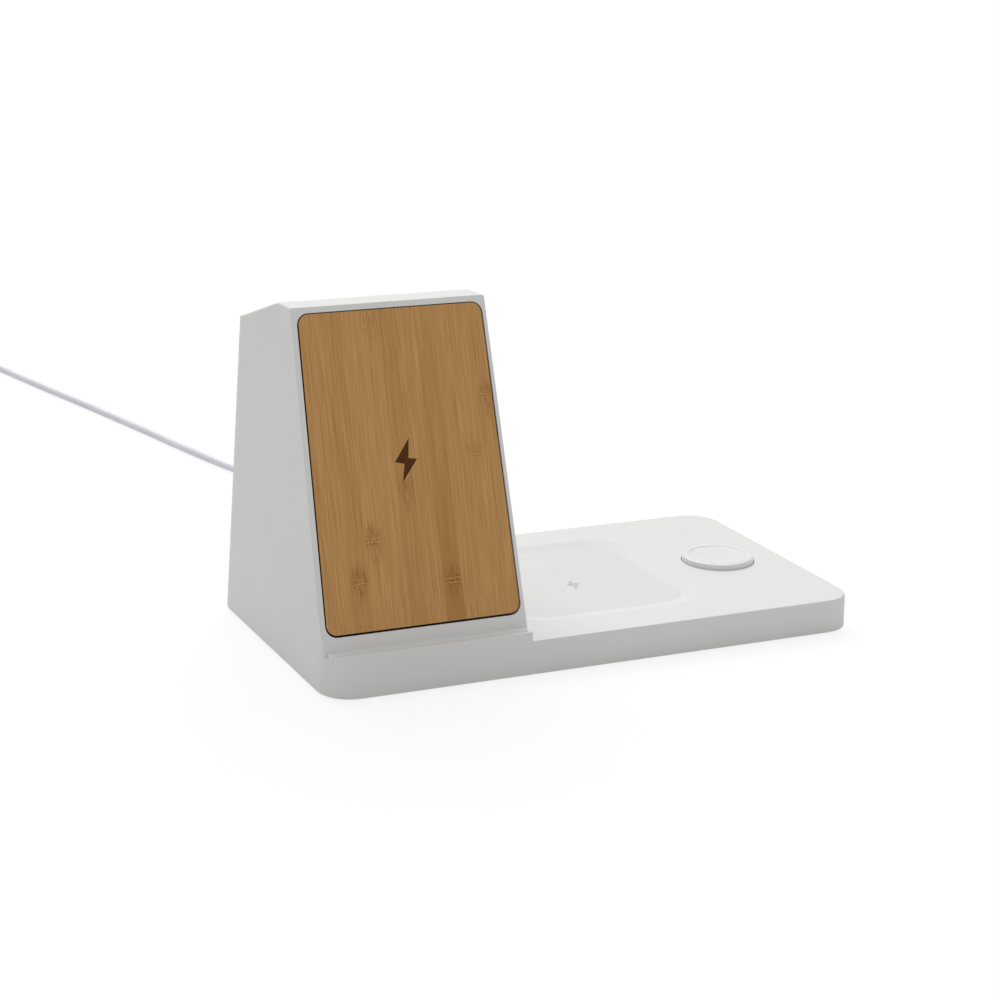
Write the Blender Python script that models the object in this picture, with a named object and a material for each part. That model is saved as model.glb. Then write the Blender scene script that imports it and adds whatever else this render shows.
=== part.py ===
"""Wireless charging stand with a desk organiser well, as an assembly of its real pieces.

Units are metres and +Z is up. The origin is on the table under the middle of the base,
+X runs to the right along the front edge and +Y runs to the back.
"""
import math

import bmesh
import bpy
from mathutils import Vector

# Clearances that many pieces share
FIT_GAP = 0.0003
OVERRUN = 0.001
FLUSH_STEP = 0.00005

# Base and tray
BASE_LENGTH = 0.256
BASE_DEPTH = 0.145
CORNER_RADIUS = 0.0145
TRAY_HEIGHT = 0.016
SKIRT_LIFT = 0.0008
SHELL_WALL = 0.0022
TRAY_ROOF = 0.0037
SIDE_SLOPE = 0.021
REAR_SLOPE = 0.1036

# Shallow dish in the tray
DISH_FROM_RIGHT = 0.0615
DISH_EDGE_MARGIN = 0.0215
DISH_RADIUS = 0.022
DISH_SINK = 0.0015
DISH_SLOPE_WIDTH = 0.007
DISH_FROM_TOWER = 0.0015
DISH_RUN_OUT = 0.0001

# Tower, its leaning face, crest and roof
TOWER_WIDTH = 0.095
LEDGE_LENGTH = 0.0933
LEDGE_DEPTH = 0.0093
FACE_FOOT_HEIGHT = 0.0173
FACE_TOP_SETBACK = 0.055
FACE_TOP_HEIGHT = 0.156
CREST_SETBACK = 0.071
CREST_DROP = 0.0005
CREST_RADIUS = 0.018
ROOF_SLOPE = 0.3205
ROOF_WALL = 0.0025

# Low rounded rib at the foot of the face
RIB_HEIGHT = 0.0018
RIB_DEPTH = 0.004
RIB_LEFT_INSET = 0.0028
RIB_RIGHT_INSET = 0.0004

# Organiser well behind the crest
WELL_SIDE_MARGIN = 0.010
WELL_SETBACK = 0.080
WELL_FROM_REAR = 0.025
WELL_FLOOR = 0.050
WELL_WALL = 0.0018
WELL_RADIUS = 0.006

# Bamboo panel in its recess, on a sheet of adhesive
PANEL_LEFT_MARGIN = 0.0031
PANEL_RIGHT_MARGIN = 0.0022
PANEL_FOOT_MARGIN = 0.0083
PANEL_TOP_MARGIN = 0.0031
PANEL_RADIUS = 0.0045
PANEL_THICKNESS = 0.0025
PANEL_GAP = 0.0006
PANEL_SINK = 0.0001
ADHESIVE_THICKNESS = 0.0005
ADHESIVE_INSET = 0.003
RECESS_BACKING = 0.0022

# Charging coils behind the leaning face
PHONE_COIL_RADIUS = 0.022
PHONE_COIL_EYE = 0.010
COIL_THICKNESS = 0.0012
PHONE_COILS_RISE = 0.0019
PHONE_COIL_SPACING = 0.046
FERRITE_THICKNESS = 0.001
PHONE_FERRITE_WIDTH = 0.050
PHONE_FERRITE_LENGTH = 0.096
FERRITE_RADIUS = 0.003
BRACKET_WIDTH = 0.066
BRACKET_END_INSET = 0.009
BRACKET_THICKNESS = 0.002
BRACKET_RADIUS = 0.005
BRACKET_WINDOW_WIDTH = 0.020
BRACKET_WINDOW_LENGTH = 0.060
POST_RADIUS = 0.0028
POST_INSET = 0.0045

# Charging coil under the tray
TRAY_COIL_RADIUS = 0.023
TRAY_COIL_EYE = 0.0105
TRAY_FERRITE_RADIUS = 0.0238
HOLDER_SIDE = 0.052
HOLDER_THICKNESS = 0.0015
HOLDER_RADIUS = 0.004

# Small round charging puck and the module inside it
PUCK_FROM_RIGHT = 0.032
PUCK_RADIUS = 0.017
PUCK_HEIGHT = 0.0025
PUCK_WALL = 0.0015
PUCK_CUP_RADIUS = 0.0140
PUCK_CUP_SINK = 0.0008
PUCK_CUP_SHARES = ((0.5, 1.0), (0.8, 0.5), (1.0, 0.0))
PUCK_FLANGE_RADIUS = 0.0193
PUCK_FLANGE_THICKNESS = 0.0006
PUCK_COIL_RADIUS = 0.0145
PUCK_COIL_EYE = 0.0058
PUCK_COIL_THICKNESS = 0.0013
MAGNET_RADIUS = 0.0045
PUCK_FERRITE_RADIUS = 0.0148
PUCK_BOARD_RADIUS = 0.0146
PUCK_BOARD_THICKNESS = 0.0012
RETAINER_RADIUS = 0.026
RETAINER_EYE = 0.009
RETAINER_THICKNESS = 0.0016
RETAINER_POST_CIRCLE = 0.0228

# Bottom cover, feet and the screws that hold the cover
COVER_THICKNESS = 0.0025
BOSS_RADIUS = 0.0042
BOSS_INSET = 0.0063
TOWER_BOSS_TOP = 0.022
FRONT_BOSS_FROM_TOWER = 0.015
REAR_BOSS_FROM_BOARD = 0.011
FOOT_RADIUS = 0.006
FOOT_HEIGHT = 0.002
FOOT_INSET = 0.020
SCREW_HEAD_RADIUS = 0.0024
SCREW_HEAD_HEIGHT = 0.0014
SCREW_SHANK_RADIUS = 0.0011
COVER_SCREW_LENGTH = 0.008
SHORT_SCREW_LENGTH = 0.0045

# Main circuit board and what is soldered to it
BOARD_LENGTH = 0.072
BOARD_WIDTH = 0.028
BOARD_THICKNESS = 0.0016
BOARD_HEIGHT = 0.0051
BOARD_FROM_TOWER = 0.004
BOARD_REAR_GAP = 0.0012
BOARD_HOLE_INSET = 0.0035
INDUCTOR_SIDE = 0.0065
INDUCTOR_HEIGHT = 0.004
INDUCTOR_PLACE_SHARES = ((-0.27, 0.10), (0.16, 0.10), (0.34, 0.10))
CAPACITOR_LENGTH = 0.0045
CAPACITOR_WIDTH = 0.0032
CAPACITOR_HEIGHT = 0.0025
CAPACITOR_COUNT = 4
CAPACITOR_FROM_HEADER = 0.0012
CAPACITOR_FROM_END = 0.010
CAPACITOR_ROW_SHARE = -0.30
CHIP_SIDE = 0.006
CHIP_HEIGHT = 0.0009
CHIP_PLACE_SHARES = (-0.05, 0.02)
HEADER_LENGTH = 0.026
HEADER_WIDTH = 0.0042
HEADER_HEIGHT = 0.0035
HEADER_INSET = 0.0008
HEADER_FROM_END = 0.0086
HEADER_WAY_SHARES = (-0.36, -0.12, 0.12, 0.36)

# USB-C socket at the back of the board
SOCKET_FROM_BOARD_END = 0.029
SOCKET_WIDTH = 0.0095
SOCKET_HEIGHT = 0.0037
SOCKET_WALL = 0.0003
SOCKET_LENGTH = 0.0085
SOCKET_BACK = 0.0006
SOCKET_SETBACK = 0.0012
TONGUE_WIDTH = 0.0068
TONGUE_HEIGHT = 0.0007
TONGUE_LENGTH = 0.0050

# Sleeved leads from the coils to the board
LEAD_RADIUS = 0.0006
LEAD_STEP = 0.005

# Plug on the cord at the charger's end
PLUG_STANDOFF = 0.0004
PLUG_SHELL_WIDTH = 0.0083
PLUG_SHELL_HEIGHT = 0.0025
PLUG_SHELL_WALL = 0.0003
PLUG_SHELL_LENGTH = 0.0064
PLUG_BODY_WIDTH = 0.0120
PLUG_BODY_HEIGHT = 0.0062
PLUG_BODY_LENGTH = 0.020
PLUG_BODY_EDGE = 0.0012
RELIEF_LENGTH = 0.0115
RELIEF_ROOT_RADIUS = 0.0028
RELIEF_TIP_RADIUS = 0.0024

# Cord, its coil, and the plug at the far end
CORD_RADIUS = 0.002
CORD_LIFT = 0.00005
CORD_STEP = 0.0082
LEAD_OUT = 0.004
COIL_LOOPS = 2.5
COIL_RADIUS = 0.039
COIL_PITCH = 0.0047
COIL_STEPS = 24
CLIMB_TURN_SHARE = 0.5
TAIL_STEP = 0.006
TAIL_MIDDLE_SHARES = (0.75, 0.15)
TAIL_END_SHARES = (1.5, 0.4)
FAR_BODY_WIDTH = 0.0157
FAR_BODY_HEIGHT = 0.0080
FAR_BODY_LENGTH = 0.030
FAR_BODY_EDGE = 0.0015
FAR_RELIEF_LENGTH = 0.010
FAR_SHELL_WIDTH = 0.0120
FAR_SHELL_HEIGHT = 0.0045
FAR_SHELL_WALL = 0.0004
FAR_SHELL_LENGTH = 0.0185
FAR_TONGUE_WIDTH = 0.0105
FAR_TONGUE_HEIGHT = 0.0017
FAR_TONGUE_GAP = 0.0004

# Counts of facets
CORNER_STEPS = 6
SIDES_SMALL = 14
SIDES_COIL = 32
SIDES_PUCK = 40
ROUTE_PIECES = 8

# Places worked out from the sizes above
LEFT = -BASE_LENGTH / 2
RIGHT = BASE_LENGTH / 2
FRONT = -BASE_DEPTH / 2
REAR = BASE_DEPTH / 2
COVER_TOP = SKIRT_LIFT + COVER_THICKNESS
CAVITY_TOP = TRAY_HEIGHT - TRAY_ROOF
BOARD_TOP = BOARD_HEIGHT + BOARD_THICKNESS
TOWER_MIDDLE = LEFT + TOWER_WIDTH / 2
CREST_HEIGHT = FACE_TOP_HEIGHT - CREST_DROP
FACE_LEAN = math.atan2(FACE_TOP_SETBACK - LEDGE_DEPTH, FACE_TOP_HEIGHT - FACE_FOOT_HEIGHT)
FACE_LENGTH = math.hypot(FACE_TOP_SETBACK - LEDGE_DEPTH, FACE_TOP_HEIGHT - FACE_FOOT_HEIGHT)
LEDGE_FRONT_HEIGHT = FACE_FOOT_HEIGHT + LEDGE_DEPTH * math.tan(FACE_LEAN)
PANEL_LENGTH = FACE_LENGTH - PANEL_FOOT_MARGIN - PANEL_TOP_MARGIN
PHONE_COILS_MIDDLE = PANEL_FOOT_MARGIN + PANEL_LENGTH / 2 + PHONE_COILS_RISE
BRACKET_LENGTH = PANEL_LENGTH - 2 * BRACKET_END_INSET
RECESS_DEPTH = PANEL_SINK + PANEL_THICKNESS + ADHESIVE_THICKNESS + 2 * FIT_GAP
FACE_WALL = RECESS_DEPTH + RECESS_BACKING
DISH_LENGTH = BASE_LENGTH - TOWER_WIDTH - DISH_FROM_TOWER - DISH_FROM_RIGHT
DISH_WIDTH = BASE_DEPTH - 2 * DISH_EDGE_MARGIN
DISH_MIDDLE_X = LEFT + TOWER_WIDTH + DISH_FROM_TOWER + DISH_LENGTH / 2
BOARD_LEFT = LEFT + TOWER_WIDTH + BOARD_FROM_TOWER
SOCKET_X = BOARD_LEFT + SOCKET_FROM_BOARD_END
PUCK_X = RIGHT - PUCK_FROM_RIGHT
CORD_REST = CORD_RADIUS + CORD_LIFT

# Hand-chosen points of the cord's route from the plug's relief to the coil
CORD_ROUTE = (
    (-0.0002, 0.1138, 0.0084),
    (-0.0012, 0.1240, 0.0066),
    (-0.0036, 0.1390, 0.0038),
    (-0.0078, 0.1560, 0.00225),
    (-0.0150, 0.1800, 0.00205),
    (-0.0250, 0.2080, 0.00205),
    (-0.0370, 0.2400, 0.00205),
    (-0.0512, 0.2815, 0.00205),
    (-0.0630, 0.3300, 0.00205),
    (-0.0729, 0.3772, 0.00205),
    (-0.0813, 0.4151, 0.00205),
    (-0.0901, 0.4542, 0.00205),
    (-0.1020, 0.5043, 0.00205),
    (-0.1140, 0.5592, 0.00205),
    (-0.1230, 0.6000, 0.00205),
    (-0.1290, 0.6270, 0.00205),
)

MATERIALS = {}


def linear(channel):
    """One sRGB channel as a linear value."""
    if channel <= 0.04045:
        return channel / 12.92
    return ((channel + 0.055) / 1.055) ** 2.4


def material(name, hex_colour, roughness, metallic=0.0):
    """A plain surface by name, made once."""
    if name not in MATERIALS:
        made = bpy.data.materials.new(name)
        made.use_nodes = True
        surface = made.node_tree.nodes["Principled BSDF"]
        channels = [int(hex_colour[i:i + 2], 16) / 255 for i in (0, 2, 4)]
        surface.inputs["Base Color"].default_value = (*[linear(c) for c in channels], 1.0)
        surface.inputs["Roughness"].default_value = roughness
        surface.inputs["Metallic"].default_value = metallic
        MATERIALS[name] = made
    return MATERIALS[name]


def white_plastic():
    return material("speckled_white_plastic", "E4E3DF", 0.55)


def rounded_corner(before, corner, after, radius, steps=CORNER_STEPS):
    """The points of a corner between two neighbours, rounded by a radius."""
    here = Vector(corner)
    if radius <= 0:
        return [tuple(here)]
    back = (Vector(before) - here).normalized()
    onward = (Vector(after) - here).normalized()
    half = back.angle(onward) / 2
    centre = here + (back + onward).normalized() * (radius / math.sin(half))
    first = here + back * (radius / math.tan(half)) - centre
    last = here + onward * (radius / math.tan(half)) - centre
    start = math.atan2(first.y, first.x)
    sweep = (math.atan2(last.y, last.x) - start + math.pi) % (2 * math.pi) - math.pi
    angles = [start + sweep * k / steps for k in range(steps + 1)]
    return [(centre.x + radius * math.cos(a), centre.y + radius * math.sin(a)) for a in angles]


def rounded_polygon(corners, radii, steps=CORNER_STEPS):
    """Outline of a polygon, anticlockwise, with each corner rounded by its radius."""
    points = []
    for i, corner in enumerate(corners):
        after = corners[(i + 1) % len(corners)]
        points += rounded_corner(corners[i - 1], corner, after, radii[i], steps)
    return points


def rectangle(left, right, front, rear, radius, steps=CORNER_STEPS):
    """Outline of a rectangle with one radius on all corners."""
    corners = ((left, front), (right, front), (right, rear), (left, rear))
    return rounded_polygon(corners, (radius,) * 4, steps)


def centred(width, length, radius, at=(0, 0), steps=CORNER_STEPS):
    """Outline of a rounded rectangle about a point."""
    x, y = at
    return rectangle(x - width / 2, x + width / 2, y - length / 2, y + length / 2, radius, steps)


def loft(low_outline, low, high_outline, high):
    """Closed shell between two outlines that have as many points, at two heights."""
    count = len(low_outline)
    points = [(x, y, low) for x, y in low_outline]
    points += [(x, y, high) for x, y in high_outline]
    faces = [tuple(reversed(range(count))), tuple(range(count, 2 * count))]
    for i in range(count):
        j = (i + 1) % count
        faces.append((i, j, count + j, count + i))
    return points, faces


def prism(outline, low, high):
    """Closed shell of an outline between two heights."""
    return loft(outline, low, outline, high)


def turned(profile, sides, at=(0, 0)):
    """Closed shell of (radius, height) points turned about an upright axis, from low to high."""
    points = []
    for radius, height in profile:
        for k in range(sides):
            angle = 2 * math.pi * k / sides
            points.append((at[0] + radius * math.cos(angle), at[1] + radius * math.sin(angle), height))
    faces = [tuple(reversed(range(sides))), tuple(range(len(points) - sides, len(points)))]
    for ring in range(len(profile) - 1):
        for k in range(sides):
            a = ring * sides + k
            b = ring * sides + (k + 1) % sides
            faces.append((a, b, b + sides, a + sides))
    return points, faces


def disc(radius, low, high, sides, at=(0, 0)):
    """Closed shell of a cylinder."""
    return turned(((radius, low), (radius, high)), sides, at)


def ring(outer, inner, low, high, sides, at=(0, 0)):
    """Closed shell of a flat ring."""
    profile = ((outer, low), (outer, high), (inner, high), (inner, low))
    points = []
    for radius, height in profile:
        for k in range(sides):
            angle = 2 * math.pi * k / sides
            points.append((at[0] + radius * math.cos(angle), at[1] + radius * math.sin(angle), height))
    faces = []
    for row in range(4):
        for k in range(sides):
            a = row * sides + k
            b = row * sides + (k + 1) % sides
            c = (row + 1) % 4 * sides + (k + 1) % sides
            d = (row + 1) % 4 * sides + k
            faces.append((a, b, c, d))
    return points, faces


def along_x(outline, left, right):
    """Closed shell of a (y, z) outline extruded from left to right."""
    points, faces = prism(outline, left, right)
    return [(x, y, z) for y, z, x in points], faces


def place(thing, parent=None):
    bpy.context.scene.collection.objects.link(thing)
    thing.parent = parent
    return thing


def solid(name, shells, surface, parent=None):
    """One object of one or more closed shells, faces out and round parts smooth."""
    shape = bmesh.new()
    for points, faces in shells:
        corners = [shape.verts.new(point) for point in points]
        for face in faces:
            shape.faces.new([corners[i] for i in face])
    bmesh.ops.recalc_face_normals(shape, faces=shape.faces)
    mesh = bpy.data.meshes.new(name)
    shape.to_mesh(mesh)
    shape.free()
    mesh.materials.append(surface)
    mesh.shade_smooth()
    mesh.set_sharp_from_angle(angle=math.radians(35))
    return place(bpy.data.objects.new(name, mesh), parent)


def cutter(name, shells, parent=None):
    """A hidden helper shape for a Boolean."""
    helper = solid(name, shells, white_plastic(), parent)
    helper.hide_render = True
    helper.display_type = "WIRE"
    return helper


def boolean(target, tool, operation):
    step = target.modifiers.new(operation.lower() + "_" + tool.name, "BOOLEAN")
    step.operation = operation
    step.solver = "EXACT"
    step.object = tool


def cut(target, *tools):
    for tool in tools:
        boolean(target, tool, "DIFFERENCE")


def frame(name, at, turn=(0, 0, 0)):
    """An empty that carries pieces in its own directions."""
    empty = bpy.data.objects.new(name, None)
    empty.location = at
    empty.rotation_euler = turn
    return place(empty)


def smooth_route(points, step):
    """Points at an even step along a smooth curve through the given points."""
    route = [Vector(p) for p in points]
    ends = [2 * route[0] - route[1], *route, 2 * route[-1] - route[-2]]
    fine = []
    for i in range(1, len(ends) - 2):
        before, here, after, beyond = ends[i - 1:i + 3]
        pieces = max(2, math.ceil((after - here).length / step * ROUTE_PIECES))
        for k in range(pieces):
            t = k / pieces
            fine.append(0.5 * (2 * here + (after - before) * t
                               + (2 * before - 5 * here + 4 * after - beyond) * t * t
                               + (3 * here - before - 3 * after + beyond) * t ** 3))
    fine.append(route[-1])
    total = sum((b - a).length for a, b in zip(fine, fine[1:]))
    spacing = total / max(1, round(total / step))
    even = [fine[0]]
    walked = 0.0
    for a, b in zip(fine, fine[1:]):
        length = (b - a).length
        while walked + length >= spacing * len(even) - spacing * 1e-6 and length > 0:
            share = (spacing * len(even) - walked) / length
            even.append(a.lerp(b, min(1.0, share)))
        walked += length
    even[-1] = route[-1]
    return even


def route_length(points):
    return sum((b - a).length for a, b in zip(points, points[1:]))


def tube(name, points, radius, surface, resolution=2):
    """A round tube along a list of points, with closed ends."""
    curve = bpy.data.curves.new(name, "CURVE")
    curve.dimensions = "3D"
    curve.bevel_depth = radius
    curve.bevel_resolution = resolution
    curve.use_fill_caps = True
    spline = curve.splines.new("POLY")
    spline.points.add(len(points) - 1)
    for target, point in zip(spline.points, points):
        target.co = (*point, 1.0)
    spline.use_smooth = True
    curve.materials.append(surface)
    return place(bpy.data.objects.new(name, curve))


def slab_outline(height, inset=0.0):
    """Plan of the base at a height, drawn in by an inset."""
    lean = SIDE_SLOPE * height
    left = LEFT + lean + inset
    right = RIGHT - lean - inset
    rear = REAR - REAR_SLOPE * height - inset
    return rectangle(left, right, FRONT + inset, rear, CORNER_RADIUS - inset)


def face_y(height):
    """Place of the leaning face at a height."""
    return FRONT + LEDGE_DEPTH + (height - FACE_FOOT_HEIGHT) * math.tan(FACE_LEAN)


def tower_outline(height, inset=0.0, front_inset=0.0):
    """Plan of the tower at a height, drawn in by an inset, its front by another."""
    lean = SIDE_SLOPE * height
    left = LEFT + lean + inset
    right = LEFT + TOWER_WIDTH - lean - inset
    rear = REAR - REAR_SLOPE * height - inset
    front = face_y(height) + front_inset / math.cos(FACE_LEAN)
    corners = ((left, front), (right, front), (right, rear), (left, rear))
    radius = CORNER_RADIUS - inset
    return rounded_polygon(corners, (0, 0, radius, radius))


def roof_profile(drop):
    """Side view (y, z) of all that lies under the tower's top, lowered by a drop."""
    crest_y = FRONT + CREST_SETBACK
    top = CREST_HEIGHT - drop
    rise = (FACE_TOP_HEIGHT - CREST_HEIGHT) / (CREST_SETBACK - FACE_TOP_SETBACK)
    front = (FRONT - OVERRUN, top + rise * (CREST_SETBACK + OVERRUN))
    back_y = REAR + OVERRUN
    back = (back_y, top - (back_y - crest_y) * ROOF_SLOPE)
    corners = ((FRONT - OVERRUN, -OVERRUN), (back_y, -OVERRUN), back, (crest_y, top), front)
    return rounded_polygon(corners, (0, 0, 0, CREST_RADIUS, 0))


def beyond_corner(height, inset):
    """Plan of what lies outside the base's rounded front left corner at a height."""
    left = LEFT + SIDE_SLOPE * height
    x, y = left + CORNER_RADIUS, FRONT + CORNER_RADIUS
    radius = CORNER_RADIUS - inset
    angles = [math.radians(270 - 90 * k / CORNER_STEPS) for k in range(CORNER_STEPS + 1)]
    arc = [(x + radius * math.cos(a), y + radius * math.sin(a)) for a in angles]
    return [*arc, (left - OVERRUN, y), (left - OVERRUN, FRONT - OVERRUN), (x, FRONT - OVERRUN)]


def tower_shape(name, inset, front_inset, drop, low):
    """The tower's wedge, drawn in on all sides, from a low height to its roof."""
    high = FACE_TOP_HEIGHT + OVERRUN
    low_plan = tower_outline(low, inset, front_inset)
    high_plan = tower_outline(high, inset, front_inset)
    wedge = cutter(name, [loft(low_plan, low, high_plan, high)])
    roof = cutter(name + "_roof", [along_x(roof_profile(drop), LEFT - OVERRUN, RIGHT)])
    boolean(wedge, roof, "INTERSECT")
    outside = [beyond_corner(level, inset) for level in (low - OVERRUN, high + OVERRUN)]
    cut(wedge, cutter(name + "_corner", [loft(outside[0], low - OVERRUN, outside[1], high + OVERRUN)]))
    return wedge


def cover_boss_places():
    """Centres of the six screw bosses that the bottom cover is held by."""
    corner = CORNER_RADIUS - (CORNER_RADIUS - BOSS_INSET) * math.cos(math.radians(45))
    return (
        (LEFT + corner, FRONT + corner),
        (LEFT + TOWER_WIDTH + FRONT_BOSS_FROM_TOWER, FRONT + BOSS_INSET),
        (RIGHT - corner, FRONT + corner),
        (RIGHT - corner, REAR - corner),
        (BOARD_LEFT - REAR_BOSS_FROM_BOARD, REAR - BOSS_INSET),
        (LEFT + corner, REAR - corner),
    )


def corner_places(half_width, half_length, middle=(0, 0)):
    """Four places about a middle."""
    x, y = middle
    return [(x + a * half_width, y + b * half_length) for a, b in ((-1, -1), (1, -1), (1, 1), (-1, 1))]


def board_middle():
    inner_rear = REAR - REAR_SLOPE * BOARD_TOP - SHELL_WALL
    return BOARD_LEFT + BOARD_LENGTH / 2, inner_rear - BOARD_REAR_GAP - BOARD_WIDTH / 2


def diagonal(places):
    """Two opposite ones of four places, where the screws go."""
    return places[::2]


def board_post_places():
    half_length = BOARD_LENGTH / 2 - BOARD_HOLE_INSET
    half_width = BOARD_WIDTH / 2 - BOARD_HOLE_INSET
    return corner_places(half_length, half_width, board_middle())


def holder_post_places():
    half = HOLDER_SIDE / 2 - POST_INSET
    return corner_places(half, half, (DISH_MIDDLE_X, 0))


def retainer_hole_places():
    angles = [math.radians(a) for a in (90, 210, 330)]
    return [(PUCK_X + RETAINER_POST_CIRCLE * math.cos(a), RETAINER_POST_CIRCLE * math.sin(a)) for a in angles]


def bracket_hole_places():
    """Places in the face's own directions, x across and y up the face."""
    across = BRACKET_WIDTH / 2 - POST_INSET
    up = BRACKET_LENGTH / 2 - POST_INSET
    return corner_places(across, up, (0, PHONE_COILS_MIDDLE))


def coil_stack():
    """Heights of the coil, ferrite and holder under the tray, each as (low, high)."""
    coil_high = CAVITY_TOP - FIT_GAP
    coil_low = coil_high - COIL_THICKNESS
    ferrite_high = coil_low - FIT_GAP
    ferrite_low = ferrite_high - FERRITE_THICKNESS
    holder_high = ferrite_low - FIT_GAP
    holder_low = holder_high - HOLDER_THICKNESS
    return (coil_low, coil_high), (ferrite_low, ferrite_high), (holder_low, holder_high)


def face_stack():
    """Depths of the coils, ferrite and bracket behind the face, as heights along its outward normal."""
    coil_high = -FACE_WALL - FIT_GAP
    coil_low = coil_high - COIL_THICKNESS
    ferrite_high = coil_low - FIT_GAP
    ferrite_low = ferrite_high - FERRITE_THICKNESS
    bracket_high = ferrite_low - FIT_GAP
    bracket_low = bracket_high - BRACKET_THICKNESS
    return (coil_low, coil_high), (ferrite_low, ferrite_high), (bracket_low, bracket_high)


def puck_stack():
    """Heights of the coil, ferrite and board inside the puck, and of the retainer under it."""
    top = TRAY_HEIGHT + PUCK_HEIGHT
    coil_high = top - PUCK_CUP_SINK - PUCK_WALL - FIT_GAP
    coil_low = coil_high - PUCK_COIL_THICKNESS
    ferrite_high = coil_low - FIT_GAP
    ferrite_low = ferrite_high - FERRITE_THICKNESS
    board_high = ferrite_low - FIT_GAP
    board_low = board_high - PUCK_BOARD_THICKNESS
    retainer_high = CAVITY_TOP - PUCK_FLANGE_THICKNESS - 2 * FIT_GAP
    return {
        "coil": (coil_low, coil_high),
        "ferrite": (ferrite_low, ferrite_high),
        "board": (board_low, board_high),
        "retainer": (retainer_high - RETAINER_THICKNESS, retainer_high),
    }


def bosses_and_posts(face):
    """What stays standing inside the shell: screw bosses and posts, as helpers for the hollow's cut."""
    inside_roof = CAVITY_TOP + TRAY_ROOF / 2
    cover_bosses = []
    for x, y in cover_boss_places():
        top = TOWER_BOSS_TOP if x < LEFT + TOWER_WIDTH and y > 0 else inside_roof
        cover_bosses.append(disc(BOSS_RADIUS, COVER_TOP + FIT_GAP, top, SIDES_SMALL, (x, y)))
    holder_low = coil_stack()[2][1] + FIT_GAP
    retainer_low = puck_stack()["retainer"][1] + FIT_GAP
    board_low = BOARD_TOP + FIT_GAP
    posts = [disc(POST_RADIUS, board_low, inside_roof, SIDES_SMALL, at) for at in board_post_places()]
    posts += [disc(POST_RADIUS, holder_low, inside_roof, SIDES_SMALL, at) for at in holder_post_places()]
    posts += [disc(POST_RADIUS, retainer_low, inside_roof, SIDES_SMALL, at) for at in retainer_hole_places()]
    bracket_high = face_stack()[2][1]
    face_low = bracket_high + FIT_GAP
    face_high = -FACE_WALL + RECESS_BACKING / 2
    face_posts = [disc(POST_RADIUS, face_low, face_high, SIDES_SMALL, at) for at in bracket_hole_places()]
    return (
        cutter("helper_cover_bosses", cover_bosses),
        cutter("helper_posts", posts),
        cutter("helper_face_posts", face_posts, face),
    )


def screw_holes(face):
    """Pilot holes for every screw that goes into the shell."""
    radius = SCREW_SHANK_RADIUS + FIT_GAP
    cover_high = SKIRT_LIFT + COVER_SCREW_LENGTH + 2 * FIT_GAP
    holes = [disc(radius, COVER_TOP, cover_high, SIDES_SMALL, at) for at in cover_boss_places()]
    board_high = BOARD_HEIGHT - FIT_GAP + SHORT_SCREW_LENGTH
    holes += [disc(radius, BOARD_TOP, board_high, SIDES_SMALL, at) for at in diagonal(board_post_places())]
    holder_low, holder_high = coil_stack()[2]
    holder_top = holder_low + SHORT_SCREW_LENGTH
    holes += [disc(radius, holder_high, holder_top, SIDES_SMALL, at) for at in diagonal(holder_post_places())]
    retainer_low, retainer_high = puck_stack()["retainer"]
    retainer_top = retainer_low + SHORT_SCREW_LENGTH
    holes += [disc(radius, retainer_high, retainer_top, SIDES_SMALL, at) for at in retainer_hole_places()]
    bracket_low, bracket_high = face_stack()[2]
    face_top = bracket_low + SHORT_SCREW_LENGTH
    face_holes = [disc(radius, bracket_high, face_top, SIDES_SMALL, at) for at in bracket_hole_places()]
    return cutter("helper_screw_holes", holes), cutter("helper_face_holes", face_holes, face)


def panel_outline(grow):
    """Outline of the bamboo panel in the face's own directions, grown by an amount."""
    low = PANEL_FOOT_MARGIN
    high = FACE_LENGTH - PANEL_TOP_MARGIN

    def half_face(up):
        return TOWER_WIDTH / 2 - SIDE_SLOPE * (FACE_FOOT_HEIGHT + up * math.cos(FACE_LEAN)) + grow

    corners = (
        (PANEL_LEFT_MARGIN - half_face(low), low - grow),
        (half_face(low) - PANEL_RIGHT_MARGIN, low - grow),
        (half_face(high) - PANEL_RIGHT_MARGIN, high + grow),
        (PANEL_LEFT_MARGIN - half_face(high), high + grow),
    )
    return rounded_polygon(corners, (PANEL_RADIUS + grow,) * 4)


def well_outline(grow):
    """Plan of the organiser well, grown by an amount."""
    half = TOWER_WIDTH / 2 - WELL_SIDE_MARGIN + grow
    front = FRONT + WELL_SETBACK - grow
    rear = REAR - WELL_FROM_REAR + grow
    return rectangle(TOWER_MIDDLE - half, TOWER_MIDDLE + half, front, rear, WELL_RADIUS + grow)


def dish_cutter():
    """The tray's shallow dish, with sloping sides that run on a little above the tray."""
    slope = DISH_SLOPE_WIDTH / DISH_SINK
    rim_grow = slope * DISH_RUN_OUT
    floor = centred(
        DISH_LENGTH - 2 * DISH_SLOPE_WIDTH,
        DISH_WIDTH - 2 * DISH_SLOPE_WIDTH,
        DISH_RADIUS - DISH_SLOPE_WIDTH,
        (DISH_MIDDLE_X, 0),
    )
    rim = centred(
        DISH_LENGTH + 2 * rim_grow,
        DISH_WIDTH + 2 * rim_grow,
        DISH_RADIUS + rim_grow,
        (DISH_MIDDLE_X, 0),
    )
    return cutter("helper_dish", [loft(floor, TRAY_HEIGHT - DISH_SINK, rim, TRAY_HEIGHT + DISH_RUN_OUT)])


def socket_opening():
    """Opening through the rear wall for the socket's mouth."""
    outline = centred(SOCKET_WIDTH + 2 * FIT_GAP, SOCKET_HEIGHT + 2 * FIT_GAP, SOCKET_HEIGHT / 2)
    return prism(outline, -SHELL_WALL - SOCKET_LENGTH / 2, OVERRUN)


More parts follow.
